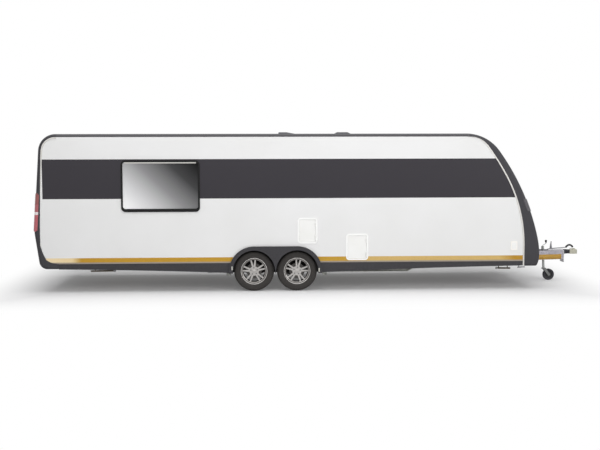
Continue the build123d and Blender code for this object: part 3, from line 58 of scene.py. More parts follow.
# Studio: a white floor that keeps the soft shadow and turns pure white further out,
# a white surround behind it, and large soft lamps above and in front.
white = (1, 1, 1, 1)
surround_light = 0.30  # what the surround gives the object; it is seen at 1
floor_shade, floor_glow, floor_half = "#dcdcdd", 0.12, 90
fade_table = [  # axis, way along it, distances where the white begins and is full
    ("X", 1, 3.7, 5.1), ("X", -1, 4.35, 5.7), ("Y", -1, 1.15, 3.1), ("Y", 1, 2.2, 3.8)
]
lamp_table = [  # name, place, aim, width, height, watts
    ("top_box", (-0.5, -1.9, 7.5), (-0.5, 0, 0), 13, 9, 590),
    ("front_box", (-1.0, -13, 6.5), (0, 0, 1.2), 14, 5, 420),
    ("nose_box", (9, -11, 4.5), (3.0, -1, 1.2), 5, 4, 290),
    ("back_box", (-1, 12, 6.5), (0, 0, 1.2), 12, 5, 90),
]


def linear(shade):
    """An sRGB hex shade as linear red, green, blue and 1: a value v becomes v / 12.92 below 0.04045,
    and ((v + 0.055) / 1.055) to the power 2.4 above it."""
    v = np.array([int(shade[i : i + 2], 16) for i in (1, 3, 5)]) / 255
    return (*np.where(v < 0.04045, v / 12.92, ((v + 0.055) / 1.055) ** 2.4).tolist(), 1.0)


def add_node(tree, kind, sockets=None, **settings):
    """Adds one node: settings are its own properties; sockets holds for each input a value, another node's
    output, or another node, which stands for its first output."""
    node = tree.nodes.new(kind)
    for name, value in settings.items():
        setattr(node, name, value)
    for name, value in (sockets or {}).items():
        if isinstance(value, bpy.types.Node):
            value = value.outputs[0]
        if isinstance(value, bpy.types.NodeSocket):
            tree.links.new(value, node.inputs[name])
        else:
            node.inputs[name].default_value = value
    return node


def seen_by(tree, kinds):
    """1 for a ray of any of these kinds and 0 for the others."""
    rays = add_node(tree, "ShaderNodeLightPath")
    seen = 0.0
    for kind in kinds:
        seen = add_node(tree, "ShaderNodeMath", {0: seen, 1: rays.outputs[kind]}, operation="MAXIMUM")
    return seen


world = bpy.data.worlds.new("white studio")
world.use_nodes = True
bpy.context.scene.world = world
tree = world.node_tree
tree.nodes.clear()
seen = seen_by(tree, ("Is Camera Ray", "Is Glossy Ray", "Is Transmission Ray"))
strength = add_node(tree, "ShaderNodeMapRange", {"Value": seen, "To Min": surround_light, "To Max": 1.0})
sky = add_node(tree, "ShaderNodeBackground", {"Color": white, "Strength": strength})
add_node(tree, "ShaderNodeOutputWorld", {"Surface": sky})

white_floor = bpy.data.materials.new("painted studio floor")
white_floor.use_nodes = True
tree = white_floor.node_tree
tree.nodes.clear()
seen = seen_by(tree, ("Is Camera Ray", "Is Glossy Ray"))
place = add_node(tree, "ShaderNodeTexCoord").outputs["Object"]
axes = add_node(tree, "ShaderNodeSeparateXYZ", {0: place}).outputs
far = 0.0
for axis, way, fade_start, fade_end in fade_table:
    reach = add_node(tree, "ShaderNodeMath", {0: axes[axis], 1: way}, operation="MULTIPLY")
    fade = add_node(
        tree,
        "ShaderNodeMapRange",
        {"Value": reach, "From Min": fade_start, "From Max": fade_end},
        interpolation_type="SMOOTHSTEP",
    )
    far = add_node(tree, "ShaderNodeMath", {0: far, 1: fade}, operation="MAXIMUM")
white_out = add_node(tree, "ShaderNodeMath", {0: far, 1: seen}, operation="MULTIPLY")
matt = add_node(tree, "ShaderNodeBsdfDiffuse", {"Color": linear(floor_shade)})
glow = add_node(tree, "ShaderNodeEmission", {"Color": white, "Strength": floor_glow})
near = add_node(tree, "ShaderNodeAddShader", {0: matt, 1: glow})
bright = add_node(tree, "ShaderNodeEmission", {"Color": white, "Strength": 1.0})
both = add_node(tree, "ShaderNodeMixShader", {0: white_out, 1: near, 2: bright})
add_node(tree, "ShaderNodeOutputMaterial", {"Surface": both})

floor_mesh = bpy.data.meshes.new("floor")
corners = [(x * floor_half, y * floor_half, 0) for x, y in ((-1, -1), (1, -1), (1, 1), (-1, 1))]
floor_mesh.from_pydata(corners, [], [(0, 1, 2, 3)])
floor_mesh.materials.append(white_floor)
floor = bpy.data.objects.new("floor", floor_mesh)
bpy.context.scene.collection.objects.link(floor)

for name, lamp_place, aim, width, height, watts in lamp_table:
    lamp = bpy.data.lights.new(name, "AREA")
    lamp.shape = "RECTANGLE"
    lamp.size = width
    lamp.size_y = height
    lamp.energy = watts
    holder = bpy.data.objects.new(name, lamp)
    holder.location = lamp_place
    holder.rotation_euler = (Vector(aim) - Vector(lamp_place)).to_track_quat("-Z", "Y").to_euler()
    bpy.context.scene.collection.objects.link(holder)

# Side walls and entry door: sandwich panels with a gelcoat face, moulded smooth and polished. The dark
# band and the gold reflective tape are stuck-on films; the tape has a prism grid and a fine dark edge line.
band_low, band_high, band_rear = 1.515, 2.150, -4.452
tape_low, tape_high = 0.492, 0.563
edge_line_height = 0.026
past_the_tail = -5
tape_stops = [  # place along the wall, shade
    (-4.50, "#f2dbb2"), (-4.00, "#e8d0a0"), (-3.86, "#b98d28"), (0.45, "#bd9331"), (0.80, "#cbaa66"),
    (2.95, "#cbaa66"), (3.20, "#b08427"),
]
prism_width = 0.020  # real prisms are 3 mm wide; drawn coarser so that they show


def new_finish(name, shade, second_shade, grain, relief, sockets):
    """A material whose colour wanders between two sRGB shades, and whose surface rises by relief, both by one
    noise with waves as long as grain (metres); sockets set the Principled shader."""
    finish = bpy.data.materials.new(name)
    finish.use_nodes = True
    tree = finish.node_tree
    shader = tree.nodes["Principled BSDF"]
    place = add_node(tree, "ShaderNodeTexCoord").outputs["Object"]
    waves = add_node(tree, "ShaderNodeTexNoise", {"Vector": place, "Scale": 1 / grain, "Detail": 4.0})
    spread = add_node(tree, "ShaderNodeMapRange", {"Value": waves, "From Min": 0.3, "From Max": 0.7})
    shades = {"Factor": spread, "A": linear(shade), "B": linear(second_shade)}
    blend = add_node(tree, "ShaderNodeMix", shades, data_type="RGBA")
    tree.links.new(blend.outputs["Result"], shader.inputs["Base Color"])
    rise = add_node(tree, "ShaderNodeBump", {"Height": waves, "Distance": relief, "Strength": 0.6})
    tree.links.new(rise.outputs[0], shader.inputs["Normal"])
    for socket, value in sockets.items():
        shader.inputs[socket].default_value = value
    return finish


def lay_over(finish, zone, colour, **settings):
    """Lays a colour over the finish's own where zone is 1; settings say how the two mix."""
    tree = finish.node_tree
    base = tree.nodes["Principled BSDF"].inputs["Base Color"]
    layer = add_node(
        tree,
        "ShaderNodeMix",
        {"Factor": zone, "A": base.links[0].from_socket, "B": colour},
        data_type="RGBA",
        **settings,
    )
    tree.links.new(layer.outputs["Result"], base)


def set_stops(ramp, stops):
    """Gives a colour ramp these stops, each a position and a shade."""
    while len(ramp.color_ramp.elements) < len(stops):
        ramp.color_ramp.elements.new(0.5)
    for stop, (position, shade) in zip(ramp.color_ramp.elements, stops):
        stop.position = position
        stop.color = linear(shade)


def coat(finish, *names):
    """Gives these CAD nodes one finish."""
    for name in names:
        nodes[name].data.materials.clear()
        nodes[name].data.materials.append(finish)


wall_finish = new_finish(
    "gelcoat side sheet", "#e9e9e9", "#e3e3e2", 1.4, 0.0006,
    {"Roughness": 0.34, "IOR": 1.5, "Specular IOR Level": 0.3},
)
tree = wall_finish.node_tree
place = add_node(tree, "ShaderNodeTexCoord").outputs["Object"]
axes = add_node(tree, "ShaderNodeSeparateXYZ", {0: place}).outputs
tape_from_x, tape_to_x = tape_stops[0][0], tape_stops[-1][0]
ends = {"From Min": tape_from_x, "From Max": tape_to_x}
along = add_node(tree, "ShaderNodeMapRange", {"Value": axes["X"], **ends})
gold = add_node(tree, "ShaderNodeValToRGB", {0: along})
set_stops(gold, [((x - tape_from_x) / (tape_to_x - tape_from_x), shade) for x, shade in tape_stops])
weave = {"Vector": place, "Scale": 1 / prism_width, "Randomness": 0.2}
prisms = add_node(tree, "ShaderNodeTexVoronoi", weave)
tape_look = add_node(
    tree, "ShaderNodeMix", {"Factor": 0.25, "A": gold, "B": prisms}, data_type="RGBA", blend_type="OVERLAY"
)
stripe_table = [  # bottom, top, rear end, colour
    (band_low, band_high, band_rear, linear("#2d2a30")),
    (tape_low, tape_high, past_the_tail, tape_look.outputs["Result"]),
    (tape_low - edge_line_height, tape_low, past_the_tail, linear("#9b9083")),
]
for low, high, rear, colour in stripe_table:
    above = add_node(tree, "ShaderNodeMath", {0: axes["Z"], 1: low}, operation="GREATER_THAN")
    below = add_node(tree, "ShaderNodeMath", {0: axes["Z"], 1: high}, operation="LESS_THAN")
    ahead = add_node(tree, "ShaderNodeMath", {0: axes["X"], 1: rear}, operation="GREATER_THAN")
    inside = add_node(tree, "ShaderNodeMath", {0: above, 1: below}, operation="MULTIPLY")
    inside = add_node(tree, "ShaderNodeMath", {0: inside, 1: ahead}, operation="MULTIPLY")
    lay_over(wall_finish, inside, colour)
coat(wall_finish, "side_wall_right", "side_wall_left", "entry_door")

# Hatches with their frames, the mains inlet and the fridge grilles: moulded white ABS, smooth and half
# glossy; the frames are the brightest and the inlet is slightly creamy beside the walls.
for name, shade, second_shade, grain, roughness, coated in (
    ("moulded white abs", "#f2f2f0", "#ededea", 0.25, 0.38, ("hatch_upper", "hatch_lower")),
    ("moulded bright white abs", "#fcfcfb", "#f8f8f6", 0.25, 0.38, ("hatch_frames",)),
    ("moulded cream abs", "#faf7f2", "#f3f0eb", 0.10, 0.42, ("mains_inlet", "fridge_grilles")),
):
    coat(new_finish(name, shade, second_shade, grain, 0.0004, {"Roughness": roughness, "IOR": 1.5}), *coated)

# Nose and tail mouldings, and the locker lid: glass fibre with a pigmented grey gelcoat, sprayed in the
# mould, with a faint orange peel. The roof sheet is white behind the same grey edge moulding.
moulding_shade = "#343337"
roof_edge_width = 0.055
moulding_finish = new_finish(
    "pigmented grey gelcoat", moulding_shade, "#39383c", 0.9, 0.0008,
    {"Roughness": 0.42, "IOR": 1.48, "Specular IOR Level": 0.3},
)
coat(moulding_finish, "rear_panel", "nose_panel", "nose_lid")
roof_finish = new_finish(
    "white roof sheet with grey edge", "#dededd", "#d4d4d3", 0.6, 0.0012, {"Roughness": 0.45, "IOR": 1.5}
)
tree = roof_finish.node_tree
place = add_node(tree, "ShaderNodeTexCoord").outputs["Object"]
axes = add_node(tree, "ShaderNodeSeparateXYZ", {0: place}).outputs
off_middle = add_node(tree, "ShaderNodeMath", {0: axes["Y"]}, operation="ABSOLUTE")
edge_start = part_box("roof_panel")[1].y - roof_edge_width
edging = add_node(tree, "ShaderNodeMath", {0: off_middle, 1: edge_start}, operation="GREATER_THAN")
lay_over(roof_finish, edging, linear(moulding_shade))
coat(roof_finish, "roof_panel")

# Skirts and wheel spats: vacuum-formed dark grey ABS with a fine leather grain, duller than the mouldings.
# A bright clip is let in flush at each lower end of the spats.
clip_table = [(-1.430, 0.385), (-0.018, 0.350)]  # place along the side, height
clip_half_width, clip_half_height = 0.009, 0.030
grained = ("#323134", "#39383b", 0.02, 0.0010, {"Roughness": 0.58, "IOR": 1.5, "Specular IOR Level": 0.3})
coat(new_finish("grained dark grey abs", *grained), "skirts")
spat_finish = new_finish("grained dark grey abs with clips", *grained)
tree = spat_finish.node_tree
place = add_node(tree, "ShaderNodeTexCoord").outputs["Object"]
axes = add_node(tree, "ShaderNodeSeparateXYZ", {0: place}).outputs
for x, z in clip_table:
    across = add_node(tree, "ShaderNodeMath", {0: axes["X"], 1: x, 2: clip_half_width}, operation="COMPARE")
    up = add_node(tree, "ShaderNodeMath", {0: axes["Z"], 1: z, 2: clip_half_height}, operation="COMPARE")
    clip = add_node(tree, "ShaderNodeMath", {0: across, 1: up}, operation="MULTIPLY")
    lay_over(spat_finish, clip, linear("#c9c8bf"))
coat(spat_finish, "wheel_spats")

# Bright rails and the door frame: anodised aluminium extrusion, brushed along its length.
rail_finish = new_finish(
    "anodised aluminium rail", "#c9c7c3", "#bfbdb9", 0.06, 0.0003, {"Roughness": 0.36, "Metallic": 0.75}
)
coat(rail_finish, "body_rails", "door_frame")

# Window frames: black moulded polyurethane, half matt.
frame_finish = new_finish(
    "black polyurethane frame", "#0c0c0c", "#121212", 0.05, 0.0004,
    {"Roughness": 0.55, "IOR": 1.5, "Specular IOR Level": 0.2},
)
coat(frame_finish, "window_frames")

# Window panes: double acrylic sheets, smoke tinted, blown to a slight crown so that the edge turns in to
# the frame. Their colour is a painted reflection: a diagonal sweep from white at the lower rear corner to
# black at the upper front.
pane_front, pane_back, pane_crown = 1.160, 1.144, 0.005
pane_corner, pane_corner_least = 0.042, 0.012
pane_insets = np.array([0.0, 0.002, 0.005, 0.010, 0.020, 0.035, 0.055, 0.080, 0.110])
pane_table = [  # side (-1 right, 1 left), rear, front, bottom, top, on the walls
    (-1, -3.1719, -1.9680, 1.3530, 2.1039),
    (1, -3.1719, -1.9680, 1.3530, 2.1039),
    (1, -0.4138, 0.3742, 1.5574, 2.1039),
    (1, 1.7978, 2.6022, 1.3530, 2.1039),
]
tail_pane_half, tail_pane_low, tail_pane_high, tail_pane_out = 0.462, 1.468, 2.012, 0.011
tail_knee_x, tail_knee_z = -4.602, 1.0
tail_slope = 0.108 / 1.555  # run of the tail over its rise, above its knee
# Painted reflection: shares of its sweep along a pane's length and height, and on the tail pane where it
# starts and how far it runs up.
reflection_along, reflection_up = 0.60, 0.40  # shares of the sweep over a pane's length and height
tail_reflection_from, tail_reflection_by = 0.55, 0.4


def grid_faces(rows, columns, wrap_rows=False, wrap_columns=False):
    """Four-sided faces of a grid of points stored row by row; a wrapped side joins its last line to the
    first."""
    r = np.arange(rows if wrap_rows else rows - 1)[:, None]
    c = np.arange(columns if wrap_columns else columns - 1)[None, :]
    r2, c2 = (r + 1) % rows, (c + 1) % columns
    corners = (r * columns + c, r2 * columns + c, r2 * columns + c2, r * columns + c2)
    return np.stack(np.broadcast_arrays(*corners), -1).reshape(-1, 4)


def add_piece(name, points, faces, finish, body="caravan_body", smooth=True, turn_out=True):
    """A mesh piece on its body, from points and from faces of any number of corners. turn_out turns the
    faces of a closed shell outwards; without it they already are."""
    mesh = bpy.data.meshes.new(name)
    if isinstance(faces, np.ndarray):
        faces = faces.tolist()
    mesh.from_pydata(np.asarray(points).reshape(-1, 3).tolist(), [], faces)
    if turn_out:
        shell = bmesh.new()
        shell.from_mesh(mesh)
        bmesh.ops.recalc_face_normals(shell, faces=shell.faces)
        shell.to_mesh(mesh)
        shell.free()
    mesh.polygons.foreach_set("use_smooth", np.full(len(mesh.polygons), smooth))
    mesh.materials.append(finish)
    piece = bpy.data.objects.new(name, mesh)
    bpy.context.scene.collection.objects.link(piece)
    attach(piece, body)
    return piece


def rounded_outline(width, tall, corner, steps=9):
    """Outline of a rounded rectangle about its middle: on each quarter, the corner's centre plus its radius
    times the cosine and sine of an angle that turns 90 degrees. Gives across and up for 4 * steps points."""
    turn = (np.arange(4)[:, None] + np.linspace(0, 1, steps)[None]) * np.pi / 2
    sign = np.array([[1, 1], [-1, 1], [-1, -1], [1, -1]])
    middle = sign * np.array([width / 2 - corner, tall / 2 - corner])
    return (middle[:, None] + corner * np.stack([np.cos(turn), np.sin(turn)], -1)).reshape(-1, 2)


def crowned_sheet(width, tall, corner, insets, crown, thick):
    """A sheet whose face rises from its rim as crown times (1 - (1 - d / D) cubed), d being a ring's inset
    and D the last one. Rings run from the middle to the rim and on to the back. Gives across, up, out."""
    rings = []
    for inset in insets[::-1]:
        radius = max(corner - inset / 2, pane_corner_least)
        flat = rounded_outline(width - 2 * inset, tall - 2 * inset, radius)
        rise = crown * (1 - (1 - inset / insets[-1]) ** 3)
        rings.append(np.column_stack([flat, np.full(len(flat), rise)]))
    rings.append(rings[-1] + (0, 0, -thick))
    return np.array(rings)


def sheet_faces(rings, around, start=0):
    """Faces of a crowned sheet whose first point has number start: its sides, its middle and its back."""
    back = start + (rings - 1) * around
    faces = (grid_faces(rings, around, wrap_columns=True) + start).tolist()
    return faces + [list(range(start, start + around)), list(range(back, back + around))]


acrylic = new_finish(
    "smoked acrylic pane with painted reflection", "#0b0b0c", "#101011", 0.5, 0.0002,
    {"Roughness": 0.10, "IOR": 1.49, "Specular IOR Level": 0.1},
)
tree = acrylic.node_tree
# painted reflection: the ramp sets each pane's colour from white to black along its sweep share
sheet_map = add_node(tree, "ShaderNodeUVMap", uv_map="painted_reflection")
share = add_node(tree, "ShaderNodeSeparateXYZ", {0: sheet_map})
painted_reflection = add_node(tree, "ShaderNodeValToRGB", {0: share})
set_stops(painted_reflection, [(0.0, "#ffffff"), (0.25, "#d0d0d1"), (0.5, "#8c8c8d"), (0.75, "#424243"), (1.0, "#000001")])
tree.links.new(painted_reflection.outputs[0], tree.nodes["Principled BSDF"].inputs["Base Color"])

sheet_form = (pane_corner, pane_insets, pane_crown, pane_front - pane_back)
sheets, reflection_shares = [], []
for side, rear, front, low, high in pane_table:
    cells = crowned_sheet(front - rear, high - low, *sheet_form)
    x, z = (rear + front) / 2 + cells[..., 0], (low + high) / 2 + cells[..., 1]
    sheets.append(np.stack([x, side * (pane_front + cells[..., 2]), z], -1))
    reflection_shares.append(reflection_along * (x - rear) / (front - rear) + reflection_up * (z - low) / (high - low))
cells = crowned_sheet(2 * tail_pane_half, tail_pane_high - tail_pane_low, *sheet_form)
z = (tail_pane_low + tail_pane_high) / 2 + cells[..., 1]
x = tail_knee_x + tail_slope * (z - tail_knee_z) - tail_pane_out - cells[..., 2]
sheets.append(np.stack([x, cells[..., 0], z], -1))
reflection_shares.append(tail_reflection_from + tail_reflection_by * (z - tail_pane_low) / (tail_pane_high - tail_pane_low))
sheets, reflection_shares = np.array(sheets), np.array(reflection_shares)
faces = []
for start in range(0, reflection_shares.size, reflection_shares[0].size):
    faces += sheet_faces(*reflection_shares[0].shape, start)
window_sheets = add_piece("window_sheets", sheets, faces, acrylic)
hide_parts("window_panes")
corner_points = np.zeros(len(window_sheets.data.loops), int)
window_sheets.data.loops.foreach_get("vertex_index", corner_points)
corner_reflection_shares = reflection_shares.ravel()[corner_points]
uv = window_sheets.data.uv_layers.new(name="painted_reflection")
uv.data.foreach_set("uv", np.stack([corner_reflection_shares, 0 * corner_reflection_shares], -1).ravel())

# Front windows and the door's window: dark tinted acrylic, flush in the moulding.
tinted_finish = new_finish(
    "dark acrylic window", "#131315", "#19191b", 0.8, 0.0002, {"Roughness": 0.08, "IOR": 1.49}
)
coat(tinted_finish, "front_windows", "entry_door_pane")

# Hinge rail over each side pane: a bright anodised strip that the pane hangs from.
rail_tall, rail_out, rail_sunk = 0.022, 0.010, 0.002
rail_end_gap, rail_drop = 0.030, 0.012  # in from the pane's ends and down from its top
bar_faces = np.array([(0, 1, 5, 4), (1, 2, 6, 5), (2, 3, 7, 6), (3, 0, 4, 7), (0, 1, 2, 3), (4, 5, 6, 7)])


def repeated(faces, step, count):
    """Faces of one shell for count like shells, whose points follow each other step by step."""
    return (faces[None] + step * np.arange(count)[:, None, None]).reshape(-1, faces.shape[1])


strips = []
for side, rear, front, low, high in pane_table:
    outline = np.array([[-0.5, 0], [0.5, 0], [0.35, 1], [-0.35, 1]])  # shares up and out
    x = np.array([rear + rail_end_gap, front - rail_end_gap])
    y = side * (pane_front - rail_sunk + outline[:, 1] * rail_out)
    z = high - rail_drop + outline[:, 0] * rail_tall
    strips.append(np.stack([np.repeat(x, 4), np.tile(y, 2), np.tile(z, 2)], -1))
faces = repeated(bar_faces, 8, len(strips))
add_piece("window_hinge_rails", strips, faces, rail_finish, smooth=False)

# Tail lamps: moulded acrylic clusters; red body, amber upper dome, white strip in the middle, red lower dome.
# A grid of small prisms inside the lens breaks up the colour.
lens_prism = 0.012
lamp_low, lamp_high = (corner.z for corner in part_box("tail_lamps"))


def lens_zones(finish, stops):
    """Colours a lens in level bands from the lamp's foot to its top; each stop is a share of the height
    where a band begins, and its shade. Gives the place of a point."""
    tree = finish.node_tree
    place = add_node(tree, "ShaderNodeTexCoord").outputs["Object"]
    axes = add_node(tree, "ShaderNodeSeparateXYZ", {0: place}).outputs
    ends = {"From Min": lamp_low, "From Max": lamp_high}
    level = add_node(tree, "ShaderNodeMapRange", {"Value": axes["Z"], **ends})
    zones = add_node(tree, "ShaderNodeValToRGB", {0: level})
    zones.color_ramp.interpolation = "CONSTANT"
    set_stops(zones, stops)
    tree.links.new(zones.outputs[0], tree.nodes["Principled BSDF"].inputs["Base Color"])
    return place


lens_finish = new_finish(
    "moulded lamp lens", "#b3242c", "#9c1c26", 0.03, 0.0004,
    {"Roughness": 0.15, "IOR": 1.49, "Coat Weight": 0.6},
)
place = lens_zones(lens_finish, [(0.0, "#b8303a"), (0.17, "#93252f"), (0.31, "#b8303a"), (0.41, "#e9dede"),
                                 (0.53, "#a82833"), (0.62, "#a8563c"), (0.78, "#b8303a")])
weave = {"Vector": place, "Scale": 1 / lens_prism, "Randomness": 0.0}
grid = add_node(lens_finish.node_tree, "ShaderNodeTexVoronoi", weave)
lay_over(lens_finish, 0.3, grid, blend_type="SOFT_LIGHT")
coat(lens_finish, "tail_lamps")

# Wrapped lens of each tail lamp: the red moulding turns round the corner of the tail, 52 mm in radius, on to
# the side. It is glued over the cluster and thins out at its two ends.
both_sides = ((-1, "right"), (1, "left"))
wrap_low, wrap_rise = 0.995, 0.615
wrap_corner_x, wrap_corner_y = 0.042, 1.108  # the corner's middle: forward of the tail's face, and out
wrap_radius, wrap_bulge, wrap_end_x = 0.0425, 0.0100, 0.060
foot_slope = 0.143  # run of the tail over its rise, below its knee
wrap_finish = new_finish(
    "wrapped lamp lens", "#b2545c", "#a24a52", 0.02, 0.0004,
    {"Roughness": 0.2, "IOR": 1.49, "Coat Weight": 0.4},
)
lens_zones(wrap_finish, [(0.0, "#b2545c"), (0.44, "#e9dede"), (0.51, "#a8565c"), (0.70, "#8e4a48")])
share = np.linspace(0, 1, 48)
z = wrap_low + share * wrap_rise
above_knee = z - tail_knee_z
face_x = tail_knee_x + np.where(z > tail_knee_z, tail_slope * above_knee, -above_knee * foot_slope)
full = 1 - np.abs(2 * share - 1) ** 40
turn = np.linspace(0, np.pi / 2, 12)
loops = []
for bulge in (0.0, wrap_bulge):
    radius = wrap_radius + bulge * (0.25 + 0.75 * full)[:, None]
    x = face_x[:, None] + wrap_corner_x - radius * np.cos(turn)
    y = wrap_corner_y + radius * np.sin(turn)
    loops.append((np.hstack([x, face_x[:, None] + wrap_end_x]), np.hstack([y, y[:, -1:]])))
x = np.hstack([loops[0][0], loops[1][0][:, ::-1]])
y = np.hstack([loops[0][1], loops[1][1][:, ::-1]])


def capped(rows, columns):
    """Faces of a tube of rows of points, columns round each, with one flat face at each end."""
    last = (rows - 1) * columns
    ends = [list(range(columns))[::-1], list(range(last, last + columns))]
    return grid_faces(rows, columns, wrap_columns=True).tolist() + ends


for side, name in both_sides:
    points = np.stack([x, side * y, np.broadcast_to(z[:, None], x.shape)], -1)
    add_piece(f"tail_lens_{name}", points, capped(*x.shape), wrap_finish)

# Tail edge: the dark moulding laps over the side as a cap that widens to the lower corner, glued on.
# Its inner curve is given as places on the side; its outer one follows the tail 36 mm in from the face.
cap_inner = np.array([
    (-4.470, 2.200), (-4.4678, 2.134), (-4.4811, 1.816), (-4.4897, 1.496), (-4.4959, 1.288),
    (-4.5001, 1.095), (-4.5033, 0.950), (-4.4992, 0.773), (-4.4788, 0.692), (-4.4471, 0.611),
    (-4.4074, 0.535), (-4.3524, 0.501), (-4.2987, 0.4825), (-4.2120, 0.4700),
])
cap_outer = np.array([
    (-4.4822, 2.200), (-4.4872, 2.134), (-4.5094, 1.816), (-4.5316, 1.496), (-4.5460, 1.288),
    (-4.5594, 1.095), (-4.5589, 0.950), (-4.5336, 0.773), (-4.5220, 0.692), (-4.5104, 0.611),
    (-4.4985, 0.525), (-4.4700, 0.450), (-4.4000, 0.412), (-4.2120, 0.400),
])
cap_foot = 1.1502  # distance of the cap's back from the middle plane
cap_out = np.array([0.0, 0.0088, 0.0096, 0.0096, 0.0088, 0.0])
cap_across = np.array([0.0, 0.0, 0.12, 0.88, 1.0, 1.0])
flat = cap_inner[:, None] + (cap_outer - cap_inner)[:, None] * cap_across[None, :, None]
for side, name in both_sides:
    y = np.broadcast_to(side * (cap_foot + cap_out), flat.shape[:2])
    points, faces = np.stack([flat[..., 0], y, flat[..., 1]], -1), capped(*flat.shape[:2])
    add_piece(f"tail_cap_{name}", points, faces, moulding_finish)

# Corner lamps of the nose and roof vents: smoked moulded acrylic, the lamps almost as dark as the moulding
# round them. Door handle: black glass-filled nylon. Floor: phenolic-faced plywood. Wheel boxes: black liners.
coat(
    new_finish("smoked lamp lens", "#4d4b50", "#424045", 0.012, 0.0006,
               {"Roughness": 0.15, "IOR": 1.49, "Coat Weight": 0.5}),
    "corner_lamps",
)
nylon_finish = new_finish(
    "black moulded nylon", "#17171b", "#1f1f24", 0.02, 0.0005, {"Roughness": 0.42, "IOR": 1.53}
)
coat(nylon_finish, "entry_door_handle")
for name, shade, second_shade, grain, relief, roughness, index, coated in (
    ("smoked roof dome", "#4a4a4e", "#3c3c40", 0.12, 0.0004, 0.22, 1.49, "roof_vents"),
    ("phenolic faced plywood", "#3a2c22", "#4a382b", 0.12, 0.0008, 0.6, 1.5, "floor_panel"),
    ("black wheel box liner", "#101010", "#1a1a1a", 0.05, 0.0010, 0.8, 1.5, "wheel_boxes"),
):
    coat(new_finish(name, shade, second_shade, grain, relief, {"Roughness": roughness, "IOR": index}), coated)

# Chassis, drawbar and steadies: folded steel, hot-dip galvanised; the zinc freezes in spangles 3 cm wide.
# The rails are painted near black behind and over the wheels: painted shade from the wheel boxes.
spangle = 0.030
shaded_middle, shaded_half = -1.40, 1.52


def zinc_finish(name, shade, dull, roughness, metal=0.65):
    """Galvanised steel: a noise wanders between two greys and tilts the surface a little; spangle cells
    lighten and darken it.
    """
    finish = new_finish(name, shade, dull, 0.35, 0.0004, {"Roughness": roughness, "Metallic": metal})
    tree = finish.node_tree
    place = add_node(tree, "ShaderNodeTexCoord").outputs["Object"]
    cells = add_node(tree, "ShaderNodeTexVoronoi", {"Vector": place, "Scale": 1 / spangle})
    cells = cells.outputs["Color"]
    value = add_node(tree, "ShaderNodeMapRange", {"Value": cells, "To Min": 0.82, "To Max": 1.12})
    lay_over(finish, 1.0, value, blend_type="MULTIPLY")
    return finish


rail_zinc = zinc_finish("hot-dip galvanised steel", "#d6d7d0", "#c2c4be", 0.5, 0.2)
coat(rail_zinc, "crossmembers", "steady_brackets")
shaded_zinc = zinc_finish("galvanised steel with painted shade over the wheels", "#d6d7d0", "#c2c4be", 0.5, 0.2)
tree = shaded_zinc.node_tree
place = add_node(tree, "ShaderNodeTexCoord").outputs["Object"]
axes = add_node(tree, "ShaderNodeSeparateXYZ", {0: place}).outputs
# painted shade: near black on the rails where they run behind and over the wheels
shade_zone = {0: axes["X"], 1: shaded_middle, 2: shaded_half}
shaded_rails = add_node(tree, "ShaderNodeMath", shade_zone, operation="COMPARE")
lay_over(shaded_zinc, shaded_rails, linear("#1c1b1a"))
coat(shaded_zinc, "chassis_rails")
drawbar_zinc = zinc_finish("galvanised drawbar steel", "#b3afb6", "#9d9aa2", 0.5)
coat(drawbar_zinc, "drawbar_leg_right", "drawbar_leg_left")
plate_zinc = zinc_finish("pale galvanised end plate", "#cdccce", "#bdbcbf", 0.5, 0.4)
coat(plate_zinc, "drawbar_head")
steady_names = [f"steady_{end}_{side}" for end in ("rear", "front") for side in ("right", "left")]
bright_zinc = zinc_finish("bright zinc plate", "#aeafac", "#9b9d9b", 0.32)
coat(bright_zinc, "jockey_tube", "jockey_clamp", "jockey_stem", *steady_names)
coat(zinc_finish("dull zinc plate", "#7f807f", "#6f706f", 0.5), "jockey_fork")

# Coupling head and its hand lever: forged steel with a light grey-green stoved enamel, chipped a little.
enamel_finish = new_finish(
    "grey green stoved enamel", "#bfbdac", "#b0ae9e", 0.05, 0.0006, {"Roughness": 0.4, "IOR": 1.5}
)
coat(enamel_finish, "coupling_head", "coupling_handle")

# Axle tubes, trailing arms: steel with black stoved paint.
black_finish = new_finish(
    "black stoved paint", "#141414", "#1d1c1b", 0.06, 0.0006, {"Roughness": 0.5, "IOR": 1.5}
)
coat(black_finish, "axle_tubes", "trailing_arms")

# Bellows and jockey tyre: moulded black rubber with a bluish bloom; the jockey wheel has a nylon centre.
rubber_finish = new_finish(
    "moulded black rubber", "#17161d", "#201f27", 0.03, 0.0006, {"Roughness": 0.6, "IOR": 1.52}
)
coat(rubber_finish, "drawbar_bellows", "jockey_tyre")
hub_finish = new_finish(
    "black nylon wheel centre", "#1b1b1c", "#252526", 0.02, 0.0004, {"Roughness": 0.5, "IOR": 1.53}
)
coat(hub_finish, "jockey_hub")

# Handbrake lever and jockey crank: zinc plated, each with a black moulded grip at the top.
for name, across, grip_from, plain in (
    ("handbrake_lever", "X", 4.405, "#77767b"), ("jockey_crank", "Z", 0.655, "#b9bab8")
):
    grip_finish = new_finish(
        f"{name.replace('_', ' ')} with grip", plain, plain, 0.02, 0.0004, {"Roughness": 0.4, "IOR": 1.5}
    )
    tree = grip_finish.node_tree
    place = add_node(tree, "ShaderNodeTexCoord").outputs["Object"]
    axes = add_node(tree, "ShaderNodeSeparateXYZ", {0: place}).outputs
    gripped = add_node(tree, "ShaderNodeMath", {0: axes[across], 1: grip_from}, operation="GREATER_THAN")
    lay_over(grip_finish, gripped, linear("#131316"))
    coat(grip_finish, name)

